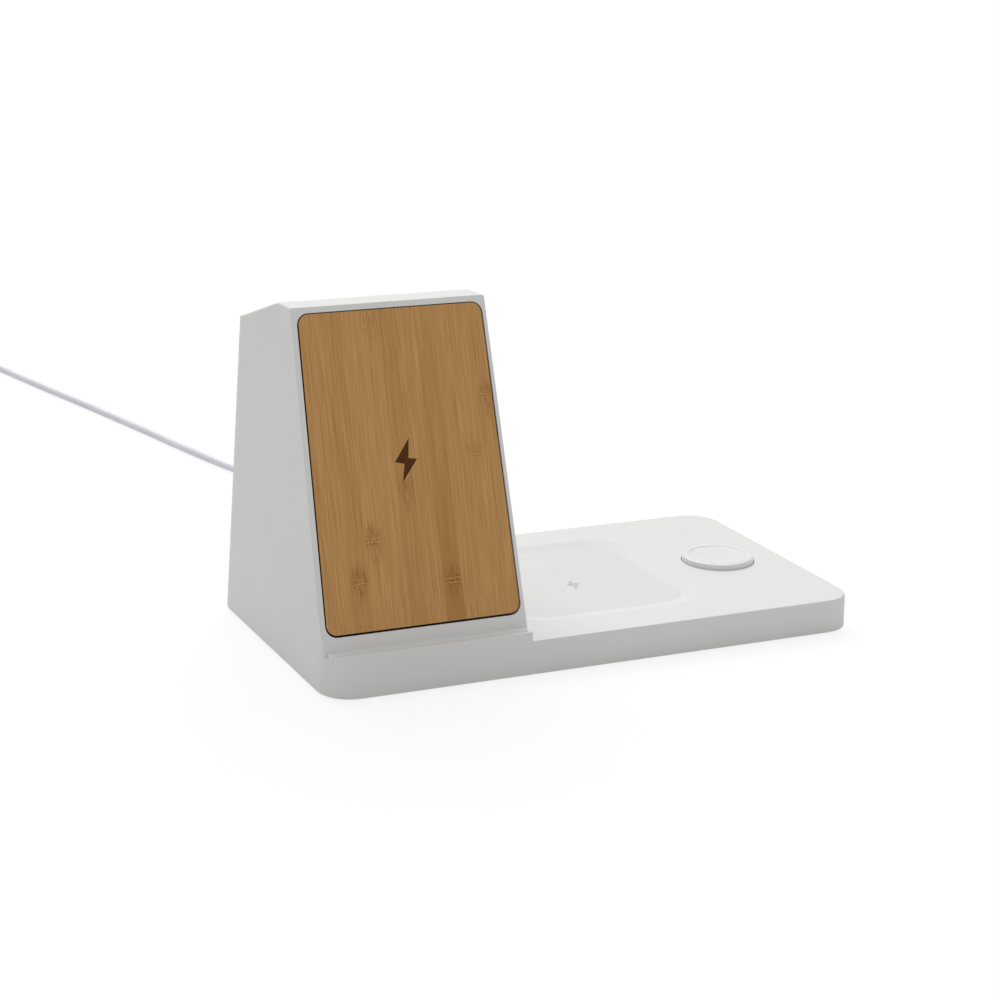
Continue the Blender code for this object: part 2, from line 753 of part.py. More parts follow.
def ledge_cutter():
    """What lies over the ledge, in front of the face: the ledge's floor stands square to the face."""
    above = LEDGE_FRONT_HEIGHT + 2 * OVERRUN
    into_face = Vector((OVERRUN * math.cos(FACE_LEAN), -OVERRUN * math.sin(FACE_LEAN)))
    foot = Vector((FRONT + LEDGE_DEPTH, FACE_FOOT_HEIGHT)) + into_face
    top = Vector((face_y(above), above)) + into_face
    in_front = (FRONT - OVERRUN, LEDGE_FRONT_HEIGHT + OVERRUN * math.tan(FACE_LEAN))
    outline = [in_front, tuple(foot), tuple(top), (in_front[0], top.y)]
    return cutter("helper_ledge", [along_x(outline, LEFT - OVERRUN, LEFT + LEDGE_LENGTH + OVERRUN)])


def rib(face):
    """The low rounded rib in the corner between the ledge and the face, in the face's own directions."""
    left = -TOWER_WIDTH / 2 + RIB_LEFT_INSET
    right = -TOWER_WIDTH / 2 + LEDGE_LENGTH - RIB_RIGHT_INSET
    angles = [math.pi / 2 * k / CORNER_STEPS for k in range(1, CORNER_STEPS + 1)]
    bead = [(RIB_HEIGHT * math.sin(a), RIB_DEPTH * math.cos(a)) for a in angles]
    outline = [(-OVERRUN, -OVERRUN), (-OVERRUN, RIB_DEPTH), *bead, (RIB_HEIGHT, -OVERRUN)]
    return cutter("helper_rib", [along_x(outline, left, right)], face)


def solid_housing(face):
    """The moulding's outside as one solid: slab, ledge, tower and rib."""
    low, high = SKIRT_LIFT, LEDGE_FRONT_HEIGHT + OVERRUN
    shell = solid("housing", [loft(slab_outline(low), low, slab_outline(high), high)], white_plastic())
    right, front, rear = RIGHT + OVERRUN, FRONT - OVERRUN, REAR + OVERRUN
    ledge_end, tower_rounding = LEFT + LEDGE_LENGTH, LEFT + TOWER_WIDTH - CORNER_RADIUS - OVERRUN
    step_outline = [(ledge_end, front), (right, front), (right, rear), (tower_rounding, rear)]
    step_outline += [(tower_rounding, REAR - CORNER_RADIUS), (ledge_end, REAR - CORNER_RADIUS)]
    step = cutter("helper_step", [prism(step_outline, TRAY_HEIGHT, high + OVERRUN)])
    cut(shell, step, ledge_cutter())
    boolean(shell, tower_shape("helper_tower", FLUSH_STEP, 0, 0, CAVITY_TOP + TRAY_ROOF / 2), "UNION")
    boolean(shell, rib(face), "UNION")
    return shell


def hollows(face):
    """The room inside the base and the tower, around the well, bosses and posts."""
    low, high = -OVERRUN, CAVITY_TOP
    slab_shell = loft(slab_outline(low, SHELL_WALL), low, slab_outline(high, SHELL_WALL), high)
    slab_hollow = cutter("helper_slab_hollow", [slab_shell])
    inset = SHELL_WALL + FLUSH_STEP
    tower_hollow = tower_shape("helper_tower_hollow", inset, FACE_WALL, ROOF_WALL, CAVITY_TOP - OVERRUN)
    block_low = WELL_FLOOR - WELL_WALL
    well_block = prism(well_outline(WELL_WALL), block_low, FACE_TOP_HEIGHT + OVERRUN)
    cut(tower_hollow, cutter("helper_well_block", [well_block]))
    standing = bosses_and_posts(face)
    for hollow in (slab_hollow, tower_hollow):
        cut(hollow, *standing)
    return slab_hollow, tower_hollow


def housing(face, socket):
    """The one-piece moulding: tray, ledge, tower and well, hollow and open below."""
    shell = solid_housing(face)
    cut(shell, *hollows(face))
    well = cutter("helper_well", [prism(well_outline(0), WELL_FLOOR, FACE_TOP_HEIGHT + OVERRUN)])
    recess = cutter("helper_recess", [prism(panel_outline(PANEL_GAP), -RECESS_DEPTH, OVERRUN)], face)
    hole = disc(PUCK_RADIUS + FIT_GAP, CAVITY_TOP - OVERRUN, TRAY_HEIGHT + OVERRUN, SIDES_PUCK, (PUCK_X, 0))
    mouth = cutter("helper_socket_mouth", [socket_opening()], socket)
    puck_hole = cutter("helper_puck_hole", [hole])
    cut(shell, well, recess, dish_cutter(), puck_hole, mouth, *screw_holes(face))


def bottom_cover():
    """The flat cover that closes the base, with countersunk holes and seats for the feet."""
    outline = slab_outline(COVER_TOP, SHELL_WALL + FIT_GAP)
    plastic = material("cover_plastic", "DAD9D5", 0.6)
    cover = solid("bottom_cover", [prism(outline, SKIRT_LIFT, COVER_TOP)], plastic)
    low = SKIRT_LIFT - OVERRUN
    head_high = SKIRT_LIFT + SCREW_HEAD_HEIGHT + 2 * FIT_GAP
    hole = SCREW_SHANK_RADIUS + FIT_GAP
    head = SCREW_HEAD_RADIUS + FIT_GAP
    profile = ((head, low), (head, head_high), (hole, head_high), (hole, COVER_TOP + OVERRUN))
    holes = cutter("helper_cover_holes", [turned(profile, SIDES_SMALL, at) for at in cover_boss_places()])
    seat_high = FOOT_HEIGHT + FIT_GAP
    seats = [disc(FOOT_RADIUS + FIT_GAP, low, seat_high, SIDES_COIL, at) for at in foot_places()]
    cut(cover, holes, cutter("helper_foot_seats", seats))


def foot_places():
    return corner_places(BASE_LENGTH / 2 - FOOT_INSET, BASE_DEPTH / 2 - FOOT_INSET)


def rubber_feet():
    rubber = material("grey_rubber", "6E6E6C", 0.85)
    for number, at in enumerate(foot_places(), 1):
        solid(f"rubber_foot_{number}", [disc(FOOT_RADIUS, 0.0, FOOT_HEIGHT, SIDES_COIL, at)], rubber)


def screw(name, head_low, length, at, parent=None):
    """A pan-head screw that points up, its head at the bottom."""
    head_high = head_low + SCREW_HEAD_HEIGHT
    profile = (
        (SCREW_HEAD_RADIUS, head_low),
        (SCREW_HEAD_RADIUS, head_high),
        (SCREW_SHANK_RADIUS, head_high),
        (SCREW_SHANK_RADIUS, head_low + length - SCREW_SHANK_RADIUS),
        (SCREW_SHANK_RADIUS / 2, head_low + length),
    )
    solid(name, [turned(profile, SIDES_SMALL, at)], material("zinc_steel", "B9BABC", 0.35, 1.0), parent)


def screws(face):
    """Every screw: those of the cover, board, tray holder, puck retainer and face bracket."""
    under = SCREW_HEAD_HEIGHT + FIT_GAP
    cover_low = SKIRT_LIFT + FIT_GAP
    board_low = BOARD_HEIGHT - under
    holder_low = coil_stack()[2][0] - under
    retainer_low = puck_stack()["retainer"][0] - under
    bracket_low = face_stack()[2][0] - under
    sets = (
        ("cover_screw", cover_boss_places(), cover_low, COVER_SCREW_LENGTH, None),
        ("board_screw", diagonal(board_post_places()), board_low, SHORT_SCREW_LENGTH, None),
        ("tray_holder_screw", diagonal(holder_post_places()), holder_low, SHORT_SCREW_LENGTH, None),
        ("retainer_screw", retainer_hole_places(), retainer_low, SHORT_SCREW_LENGTH, None),
        ("bracket_screw", bracket_hole_places(), bracket_low, SHORT_SCREW_LENGTH, face),
    )
    for name, places, head_low, length, parent in sets:
        for number, at in enumerate(places, 1):
            screw(f"{name}_{number}", head_low, length, at, parent)


def plate_holes(name, places, low, high, parent=None):
    """Clearance holes for screws through a plate."""
    radius = SCREW_SHANK_RADIUS + FIT_GAP
    shells = [disc(radius, low - OVERRUN, high + OVERRUN, SIDES_SMALL, at) for at in places]
    return cutter(name, shells, parent)


def face_pieces(face):
    """Panel, adhesive, two coils, ferrite and bracket, in the leaning face's own directions."""
    panel_high = -PANEL_SINK
    panel_low = panel_high - PANEL_THICKNESS
    bamboo = material("bamboo", "A67C4A", 0.5)
    solid("bamboo_panel", [prism(panel_outline(0), panel_low, panel_high)], bamboo, face)
    adhesive_high = panel_low - FIT_GAP
    adhesive_low = adhesive_high - ADHESIVE_THICKNESS
    tape = material("black_adhesive", "1C1B1A", 0.8)
    solid("panel_adhesive", [prism(panel_outline(-ADHESIVE_INSET), adhesive_low, adhesive_high)], tape, face)

    coil_level, ferrite_level, bracket_level = face_stack()
    copper = material("copper_wire", "B0703C", 0.4, 1.0)
    for name, side in (("phone_coil_lower", -1), ("phone_coil_upper", 1)):
        at = (0, PHONE_COILS_MIDDLE + side * PHONE_COIL_SPACING / 2)
        solid(name, [ring(PHONE_COIL_RADIUS, PHONE_COIL_EYE, *coil_level, SIDES_COIL, at)], copper, face)
    middle = (0, PHONE_COILS_MIDDLE)
    sheet = centred(PHONE_FERRITE_WIDTH, PHONE_FERRITE_LENGTH, FERRITE_RADIUS, middle)
    solid("phone_ferrite", [prism(sheet, *ferrite_level)], ferrite(), face)
    plate = centred(BRACKET_WIDTH, BRACKET_LENGTH, BRACKET_RADIUS, middle)
    bracket = solid("phone_coil_bracket", [prism(plate, *bracket_level)], inner_plastic(), face)
    low, high = bracket_level
    window = centred(BRACKET_WINDOW_WIDTH, BRACKET_WINDOW_LENGTH, BRACKET_RADIUS, middle)
    opening = cutter("helper_bracket_window", [prism(window, low - OVERRUN, high + OVERRUN)], face)
    cut(bracket, opening, plate_holes("helper_bracket_holes", bracket_hole_places(), low, high, face))


def ferrite():
    return material("ferrite", "2E2C2B", 0.7)


def inner_plastic():
    return material("inner_plastic", "3A3B3D", 0.6)


def board_green():
    return material("circuit_board", "1F5A3A", 0.45)


def tray_pieces():
    """Coil, ferrite and holder under the tray's dish."""
    coil_level, ferrite_level, holder_level = coil_stack()
    middle = (DISH_MIDDLE_X, 0)
    copper = material("copper_wire", "B0703C", 0.4, 1.0)
    solid("tray_coil", [ring(TRAY_COIL_RADIUS, TRAY_COIL_EYE, *coil_level, SIDES_COIL, middle)], copper)
    solid("tray_ferrite", [disc(TRAY_FERRITE_RADIUS, *ferrite_level, SIDES_COIL, middle)], ferrite())
    plate = centred(HOLDER_SIDE, HOLDER_SIDE, HOLDER_RADIUS, middle)
    holder = solid("tray_coil_holder", [prism(plate, *holder_level)], inner_plastic())
    cut(holder, plate_holes("helper_holder_holes", diagonal(holder_post_places()), *holder_level))


def puck_pieces():
    """The charging puck's cap with its shallow cup, and the module inside it."""
    at = (PUCK_X, 0)
    levels = puck_stack()
    top = TRAY_HEIGHT + PUCK_HEIGHT
    flange_high = CAVITY_TOP - FIT_GAP
    flange_low = flange_high - PUCK_FLANGE_THICKNESS
    edge = PUCK_WALL / 2
    outside = (
        (PUCK_FLANGE_RADIUS, flange_low),
        (PUCK_FLANGE_RADIUS, flange_high),
        (PUCK_RADIUS, flange_high),
        (PUCK_RADIUS, top - edge),
        (PUCK_RADIUS - edge, top),
    )
    cap = solid("charging_puck", [turned(outside, SIDES_PUCK, at)], white_plastic())
    hollow_high = levels["coil"][1] + FIT_GAP
    hollow = disc(PUCK_RADIUS - PUCK_WALL, flange_low - OVERRUN, hollow_high, SIDES_PUCK, at)
    dished = [(out * PUCK_CUP_RADIUS, top - down * PUCK_CUP_SINK) for out, down in PUCK_CUP_SHARES]
    cup_profile = [*dished, (PUCK_CUP_RADIUS, top + OVERRUN)]
    cup = cutter("helper_puck_cup", [turned(cup_profile, SIDES_PUCK, at)])
    cut(cap, cutter("helper_puck_hollow", [hollow]), cup)

    copper = material("copper_wire", "B0703C", 0.4, 1.0)
    solid("puck_coil", [ring(PUCK_COIL_RADIUS, PUCK_COIL_EYE, *levels["coil"], SIDES_COIL, at)], copper)
    magnet = material("nickel_magnet", "A8A9AB", 0.3, 1.0)
    solid("puck_magnet", [disc(MAGNET_RADIUS, *levels["coil"], SIDES_COIL, at)], magnet)
    solid("puck_ferrite", [disc(PUCK_FERRITE_RADIUS, *levels["ferrite"], SIDES_COIL, at)], ferrite())
    solid("puck_board", [disc(PUCK_BOARD_RADIUS, *levels["board"], SIDES_COIL, at)], board_green())
    plate = ring(RETAINER_RADIUS, RETAINER_EYE, *levels["retainer"], SIDES_PUCK, at)
    retainer = solid("puck_retainer", [plate], inner_plastic())
    cut(retainer, plate_holes("helper_retainer_holes", retainer_hole_places(), *levels["retainer"]))


def on_board(shares):
    """A place on the board from shares of its length and width."""
    x, y = board_middle()
    return x + shares[0] * BOARD_LENGTH, y + shares[1] * BOARD_WIDTH


def header_middle():
    """Middle of the header, on the board's front edge beyond the post at its left end."""
    front = board_middle()[1] - BOARD_WIDTH / 2
    return BOARD_LEFT + HEADER_FROM_END + HEADER_LENGTH / 2, front + HEADER_INSET + HEADER_WIDTH / 2


def capacitor_places():
    """A row of places from beside the header to the board's right end."""
    first = header_middle()[0] + HEADER_LENGTH / 2 + CAPACITOR_FROM_HEADER + CAPACITOR_WIDTH / 2
    last = BOARD_LEFT + BOARD_LENGTH - CAPACITOR_FROM_END - CAPACITOR_WIDTH / 2
    spacing = (last - first) / (CAPACITOR_COUNT - 1)
    row = board_middle()[1] + CAPACITOR_ROW_SHARE * BOARD_WIDTH
    return [(first + i * spacing, row) for i in range(CAPACITOR_COUNT)]


def block(at, width, length, low, high):
    return prism(centred(width, length, 0, at), low, high)


def main_board():
    """The board with its soldered capacitors, and its inductors, chip and lead header."""
    outline = centred(BOARD_LENGTH, BOARD_WIDTH, BOARD_HOLE_INSET / 2, board_middle())
    board = solid("main_board", [prism(outline, BOARD_HEIGHT, BOARD_TOP)], board_green())
    cut(board, plate_holes("helper_board_holes", diagonal(board_post_places()), BOARD_HEIGHT, BOARD_TOP))
    inside = BOARD_TOP - BOARD_THICKNESS / 2
    top = BOARD_TOP + CAPACITOR_HEIGHT
    size = (CAPACITOR_WIDTH, CAPACITOR_LENGTH)
    capacitors = [block(at, *size, inside, top) for at in capacitor_places()]
    boolean(board, cutter("helper_capacitors", capacitors), "UNION")
    base = BOARD_TOP + FIT_GAP
    for number, shares in enumerate(INDUCTOR_PLACE_SHARES, 1):
        inductor = block(on_board(shares), INDUCTOR_SIDE, INDUCTOR_SIDE, base, base + INDUCTOR_HEIGHT)
        solid(f"power_inductor_{number}", [inductor], material("inductor_grey", "55575A", 0.5))
    chip = block(on_board(CHIP_PLACE_SHARES), CHIP_SIDE, CHIP_SIDE, base, base + CHIP_HEIGHT)
    solid("controller_chip", [chip], material("chip_black", "1A1A1B", 0.4))
    header = block(header_middle(), HEADER_LENGTH, HEADER_WIDTH, base, base + HEADER_HEIGHT)
    solid("lead_header", [header], material("header_white", "DCD9D0", 0.5))


def socket_pieces(socket):
    """The USB-C socket's metal shell and the tongue in it, along the socket's axis."""
    mouth = -SOCKET_SETBACK
    back = mouth - SOCKET_LENGTH
    outer = centred(SOCKET_WIDTH, SOCKET_HEIGHT, SOCKET_HEIGHT / 2 - SOCKET_WALL)
    steel = material("stainless_steel", "B4B5B7", 0.3, 1.0)
    shell = solid("usb_socket_shell", [prism(outer, back, mouth)], steel, socket)
    inner_width = SOCKET_WIDTH - 2 * SOCKET_WALL
    inner_height = SOCKET_HEIGHT - 2 * SOCKET_WALL
    inner = centred(inner_width, inner_height, inner_height / 2 - SOCKET_WALL)
    cut(shell, cutter("helper_socket_bore", [prism(inner, back + SOCKET_BACK, mouth + OVERRUN)], socket))
    tongue_back = back + SOCKET_BACK + FIT_GAP
    tongue = prism(centred(TONGUE_WIDTH, TONGUE_HEIGHT, 0), tongue_back, tongue_back + TONGUE_LENGTH)
    solid("usb_socket_tongue", [tongue], material("tongue_black", "202122", 0.5), socket)


def eased_block(outline_width, outline_height, edge, low, high):
    """Closed shell of a rounded block with eased ends."""
    small = centred(outline_width - 2 * edge, outline_height - 2 * edge, outline_height / 2 - 2 * edge)
    large = centred(outline_width, outline_height, outline_height / 2 - edge)
    levels = ((small, low), (large, low + edge), (large, high - edge), (small, high))
    points = []
    for outline, height in levels:
        points += [(x, y, height) for x, y in outline]
    count = len(large)
    faces = [tuple(reversed(range(count))), tuple(range(3 * count, 4 * count))]
    for row in range(3):
        for i in range(count):
            j = (i + 1) % count
            faces.append((row * count + i, row * count + j, (row + 1) * count + j, (row + 1) * count + i))
    return points, faces


def near_plug_pieces(socket):
    """The cord's USB-C plug: metal shell, and a moulded body that ends in its strain relief."""
    cord_white = material("cord_white", "E6E6E6", 0.45)
    face = PLUG_STANDOFF
    tip = face - PLUG_SHELL_LENGTH
    steel = material("stainless_steel", "B4B5B7", 0.3, 1.0)
    outer = centred(PLUG_SHELL_WIDTH, PLUG_SHELL_HEIGHT, PLUG_SHELL_HEIGHT / 2 - PLUG_SHELL_WALL)
    shell = solid("usb_c_plug_shell", [prism(outer, tip, face - FIT_GAP)], steel, socket)
    inner_width = PLUG_SHELL_WIDTH - 2 * PLUG_SHELL_WALL
    inner_height = PLUG_SHELL_HEIGHT - 2 * PLUG_SHELL_WALL
    inner = centred(inner_width, inner_height, inner_height / 2 - PLUG_SHELL_WALL)
    cut(shell, cutter("helper_plug_bore", [prism(inner, tip - OVERRUN, face - 2 * PLUG_SHELL_WALL)], socket))
    end = face + PLUG_BODY_LENGTH
    body = eased_block(PLUG_BODY_WIDTH, PLUG_BODY_HEIGHT, PLUG_BODY_EDGE, face, end)
    moulding = solid("usb_c_plug_body", [body], cord_white, socket)
    relief = ((RELIEF_ROOT_RADIUS, end - PLUG_BODY_EDGE), (RELIEF_TIP_RADIUS, end + RELIEF_LENGTH))
    boolean(moulding, cutter("helper_near_relief", [turned(relief, SIDES_SMALL)], socket), "UNION")


def relief_end():
    """Where the cord leaves the near plug's strain relief."""
    height = socket_height()
    return Vector((SOCKET_X, REAR + PLUG_STANDOFF + PLUG_BODY_LENGTH + RELIEF_LENGTH + FIT_GAP, height))


def socket_height():
    return BOARD_TOP + FIT_GAP + SOCKET_HEIGHT / 2


def coil_points(start, heading):
    """A flat coil that spirals in on the table and out again on top of itself, turning left."""
    side = Vector((-heading.y, heading.x, 0.0))
    centre = start + heading * LEAD_OUT + side * COIL_RADIUS
    points = [start]
    first = math.atan2(-side.y, -side.x)
    steps = round(COIL_LOOPS * COIL_STEPS)
    for i in range(steps + 1):
        turn = COIL_LOOPS * i / steps
        drawn_in = COIL_PITCH * min(turn, COIL_LOOPS - turn)
        climb = min(1.0, max(0.0, (turn - COIL_LOOPS / 2) / CLIMB_TURN_SHARE + CLIMB_TURN_SHARE))
        angle = first + 2 * math.pi * turn
        radius = COIL_RADIUS - drawn_in
        lift = Vector((0, 0, COIL_PITCH * climb))
        points.append(centre + Vector((math.cos(angle), math.sin(angle), 0)) * radius + lift)
    leaving = (points[-1] - points[-2])
    leaving.z = 0
    points.append(points[-1] + leaving.normalized() * LEAD_OUT)
    return points


def least_gap(points, skip):
    """Smallest distance between the tube and itself, over points at least some steps apart."""
    best = None
    for i, a in enumerate(points):
        for j in range(i + skip, len(points) - 1):
            b, c = points[j], points[j + 1]
            along = c - b
            share = max(0.0, min(1.0, (a - b).dot(along) / along.length_squared))
            gap = (a - b - along * share).length - 2 * CORD_RADIUS
            best = gap if best is None else min(best, gap)
    return best


def cord_pieces():
    """The cord: its visible stretch, the coil, the tail, and the USB-A plug at the far end."""
    cord_white = material("cord_white", "E6E6E6", 0.45)
    start = relief_end()
    straight = start + Vector((0, CORD_RADIUS * 2, 0))
    visible = [start, *smooth_route([straight, *[Vector(p) for p in CORD_ROUTE]], CORD_STEP)]
    heading = (visible[-1] - visible[-2])
    heading.z = 0
    heading.normalize()
    visible.append(visible[-1] + heading * CORD_RADIUS * 2)
    tube("cord_run", visible, CORD_RADIUS, cord_white)
    coil = coil_points(visible[-1] + heading * FIT_GAP, heading)
    tube("cord_coil", coil, CORD_RADIUS, cord_white, 1)
    print("least gap of the coil to itself, mm:", round(least_gap(coil, COIL_STEPS // 2) * 1000, 3))

    leaving = (coil[-1] - coil[-2]).normalized()
    tail_start = coil[-1] + leaving * FIT_GAP
    far_height = FAR_BODY_HEIGHT / 2 + CORD_LIFT
    across = Vector((-leaving.y, leaving.x, 0))
    onward, aside = TAIL_END_SHARES
    tail_end = tail_start + (leaving * onward + across * aside) * COIL_RADIUS
    tail_end.z = far_height
    bend = leaving * CORD_RADIUS * 2
    onward, aside = TAIL_MIDDLE_SHARES
    middle = tail_start + (leaving * onward + across * aside) * COIL_RADIUS
    middle.z = (tail_start.z + far_height) / 2
    tail = smooth_route([tail_start + bend, middle, tail_end - bend], TAIL_STEP)
    tail = [tail_start, *tail, tail_end]
    tube("cord_tail", tail, CORD_RADIUS, cord_white)
    total = sum(route_length(points) for points in (visible, coil, tail))
    print("cord length, mm:", round(total * 1000, 1))
    far_plug(tail[-1] + leaving * FIT_GAP, leaving, cord_white)


def far_plug(start, heading, cord_white):
    """The USB-A plug at the cord's far end, lying on the table."""
    turn = math.atan2(heading.y, heading.x)
    far = frame("far_plug_frame", start, (math.radians(90), 0, turn + math.radians(90)))
    low = FAR_RELIEF_LENGTH
    high = low + FAR_BODY_LENGTH
    body = eased_block(FAR_BODY_WIDTH, FAR_BODY_HEIGHT, FAR_BODY_EDGE, low, high)
    moulding = solid("usb_a_plug_body", [body], cord_white, far)
    relief = ((RELIEF_TIP_RADIUS, 0.0), (RELIEF_ROOT_RADIUS, low + FAR_BODY_EDGE))
    boolean(moulding, cutter("helper_far_relief", [turned(relief, SIDES_SMALL)], far), "UNION")
    steel = material("stainless_steel", "B4B5B7", 0.3, 1.0)
    shell_low = high + FIT_GAP
    shell_high = shell_low + FAR_SHELL_LENGTH
    outer = centred(FAR_SHELL_WIDTH, FAR_SHELL_HEIGHT, FAR_SHELL_WALL, steps=1)
    shell = solid("usb_a_plug_shell", [prism(outer, shell_low, shell_high)], steel, far)
    inner_height = FAR_SHELL_HEIGHT - 2 * FAR_SHELL_WALL
    inner = centred(FAR_SHELL_WIDTH - 2 * FAR_SHELL_WALL, inner_height, 0)
    bore_low = shell_low + FAR_SHELL_WALL
    cut(shell, cutter("helper_far_bore", [prism(inner, bore_low, shell_high + OVERRUN)], far))
    tongue_y = inner_height / 2 - FAR_TONGUE_GAP - FAR_TONGUE_HEIGHT / 2
    tongue = centred(FAR_TONGUE_WIDTH, FAR_TONGUE_HEIGHT, 0, (0, tongue_y))
    black = material("tongue_black", "202122", 0.5)
    solid("usb_a_tongue", [prism(tongue, bore_low + FIT_GAP, shell_high - FAR_TONGUE_GAP)], black, far)


def on_face(across, up, out):
    """World place of a point given in the leaning face's own directions."""
    foot = Vector((TOWER_MIDDLE, FRONT + LEDGE_DEPTH, FACE_FOOT_HEIGHT))
    rise = Vector((0, math.sin(FACE_LEAN), math.cos(FACE_LEAN)))
    normal = Vector((0, -math.cos(FACE_LEAN), math.sin(FACE_LEAN)))
    return foot + Vector((across, 0, 0)) + rise * up + normal * out


def lead(name, points, way):
    """A sleeved lead along a smooth curve through its places, then straight into its way in the header."""
    route = [*smooth_route(points, LEAD_STEP), way]
    tube(name, route, LEAD_RADIUS, material("lead_sleeve", "7A2E22", 0.5), 1)


def header_way(number):
    """Where a lead meets the header's front, and the place in front of it that the lead comes from."""
    x, y = header_middle()
    x += HEADER_WAY_SHARES[number] * HEADER_LENGTH
    y -= HEADER_WIDTH / 2 + FIT_GAP
    way = Vector((x, y, BOARD_TOP + FIT_GAP + HEADER_HEIGHT / 2))
    return way, way - Vector((0, HEADER_WIDTH / 4, 0))


def phone_leads():
    """Leads that run down behind the face beside the coils, then back over the cover to the header."""
    layer = sum(face_stack()[0]) / 2
    low_run = COVER_TOP + 3 * LEAD_RADIUS
    lower_edge = PHONE_COILS_MIDDLE - PHONE_COIL_SPACING / 2 - PHONE_COIL_RADIUS - FIT_GAP
    beside = PHONE_COIL_RADIUS + FIT_GAP + LEAD_RADIUS
    upper_middle = PHONE_COILS_MIDDLE + PHONE_COIL_SPACING / 2
    lower = [on_face(0, lower_edge, layer)]
    upper = [
        on_face(beside, upper_middle, layer),
        on_face(beside, PHONE_COILS_MIDDLE, layer),
        on_face(beside, lower_edge, layer),
    ]
    for name, points, across, number in (
        ("phone_coil_lower_lead", lower, 0.0, 0),
        ("phone_coil_upper_lead", upper, beside, 1),
    ):
        leaving = on_face(across, lower_edge / 2, layer - 2 * LEAD_RADIUS)
        foot = on_face(across, 0, layer - 4 * LEAD_RADIUS)
        down = Vector((foot.x, foot.y + FACE_WALL, CAVITY_TOP / 2 + low_run / 2))
        turn = Vector((foot.x, foot.y + 3 * FACE_WALL, low_run))
        way, before = header_way(number)
        half_way = Vector(((foot.x + way.x) / 2, 0, low_run))
        level = Vector((way.x, way.y - 5 * HEADER_WIDTH, low_run))
        near = Vector((way.x, way.y - 2.5 * HEADER_WIDTH, low_run))
        lead(name, [*points, leaving, foot, down, turn, half_way, level, near, before], way)


def tray_lead():
    """Lead that leaves the tray coil in its own layer, inside the holder's post."""
    layer = sum(coil_stack()[0]) / 2
    middle = Vector((DISH_MIDDLE_X, 0, layer))
    outward = Vector((-math.sqrt(0.5), math.sqrt(0.5), 0))
    post = Vector((*holder_post_places()[3], layer))
    pass_by = post + Vector((1.5 * POST_RADIUS, 0, 0))
    way, before = header_way(2)
    start = middle + outward * (TRAY_COIL_RADIUS + FIT_GAP)
    beyond = pass_by + Vector((-LEAD_RADIUS, 1.5 * POST_RADIUS, -LEAD_RADIUS))
    lead("tray_coil_lead", [start, pass_by, beyond, before], way)


def puck_lead():
    """Lead that drops through the retainer's eye and runs between the tray holder and the board."""
    levels = puck_stack()
    low_run = COVER_TOP + FIT_GAP + LEAD_RADIUS
    way, before = header_way(3)
    between = (HOLDER_SIDE / 2 + board_middle()[1] - BOARD_WIDTH / 2) / 2
    start = Vector((PUCK_X, 0, levels["board"][0] - FIT_GAP))
    lead(
        "puck_lead",
        [
            start,
            Vector((PUCK_X, 0, levels["retainer"][0])),
            Vector((PUCK_X - RETAINER_EYE / 2, RETAINER_EYE / 2, CAVITY_TOP / 2)),
            Vector((PUCK_X - RETAINER_RADIUS, RETAINER_RADIUS, low_run)),
            Vector((DISH_MIDDLE_X + HOLDER_SIDE / 2, between, low_run)),
            Vector((DISH_MIDDLE_X, between, low_run)),
            Vector((way.x + HEADER_WIDTH, between, low_run)),
            before,
        ],
        way,
    )


def main():
    for thing in list(bpy.data.objects):
        bpy.data.objects.remove(thing, do_unlink=True)
    foot = (TOWER_MIDDLE, FRONT + LEDGE_DEPTH, FACE_FOOT_HEIGHT)
    face = frame("face_frame", foot, (math.radians(90) - FACE_LEAN, 0, 0))
    socket = frame("socket_frame", (SOCKET_X, REAR, socket_height()), (math.radians(-90), 0, 0))
    housing(face, socket)
    bottom_cover()
    rubber_feet()
    screws(face)
    face_pieces(face)
    tray_pieces()
    puck_pieces()
    main_board()
    socket_pieces(socket)
    near_plug_pieces(socket)
    cord_pieces()
    phone_leads()
    tray_lead()
    puck_lead()


main()
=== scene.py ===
"""Looks of a wireless charging stand with a bamboo panel, an organiser well and its cord.

Metres, +Z up. The origin is on the table under the middle of the base, +X runs to the right
along the front edge and +Y to the back.
"""
import math

import bmesh
import bpy
from mathutils import Matrix, Vector


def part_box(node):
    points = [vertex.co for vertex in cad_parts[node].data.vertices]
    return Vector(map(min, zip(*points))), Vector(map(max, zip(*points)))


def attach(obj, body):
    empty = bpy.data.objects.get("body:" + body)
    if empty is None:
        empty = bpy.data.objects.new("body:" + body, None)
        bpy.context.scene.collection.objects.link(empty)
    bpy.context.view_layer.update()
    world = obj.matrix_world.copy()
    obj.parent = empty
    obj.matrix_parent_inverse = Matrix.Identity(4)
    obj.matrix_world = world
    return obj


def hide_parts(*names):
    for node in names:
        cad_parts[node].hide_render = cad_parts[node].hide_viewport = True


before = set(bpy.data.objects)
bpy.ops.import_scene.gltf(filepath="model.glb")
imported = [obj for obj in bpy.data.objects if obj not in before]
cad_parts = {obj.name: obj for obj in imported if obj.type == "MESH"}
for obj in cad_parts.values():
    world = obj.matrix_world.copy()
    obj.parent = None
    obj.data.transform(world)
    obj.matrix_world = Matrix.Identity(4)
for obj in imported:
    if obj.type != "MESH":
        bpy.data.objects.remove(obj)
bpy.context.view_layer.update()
MM = 0.001

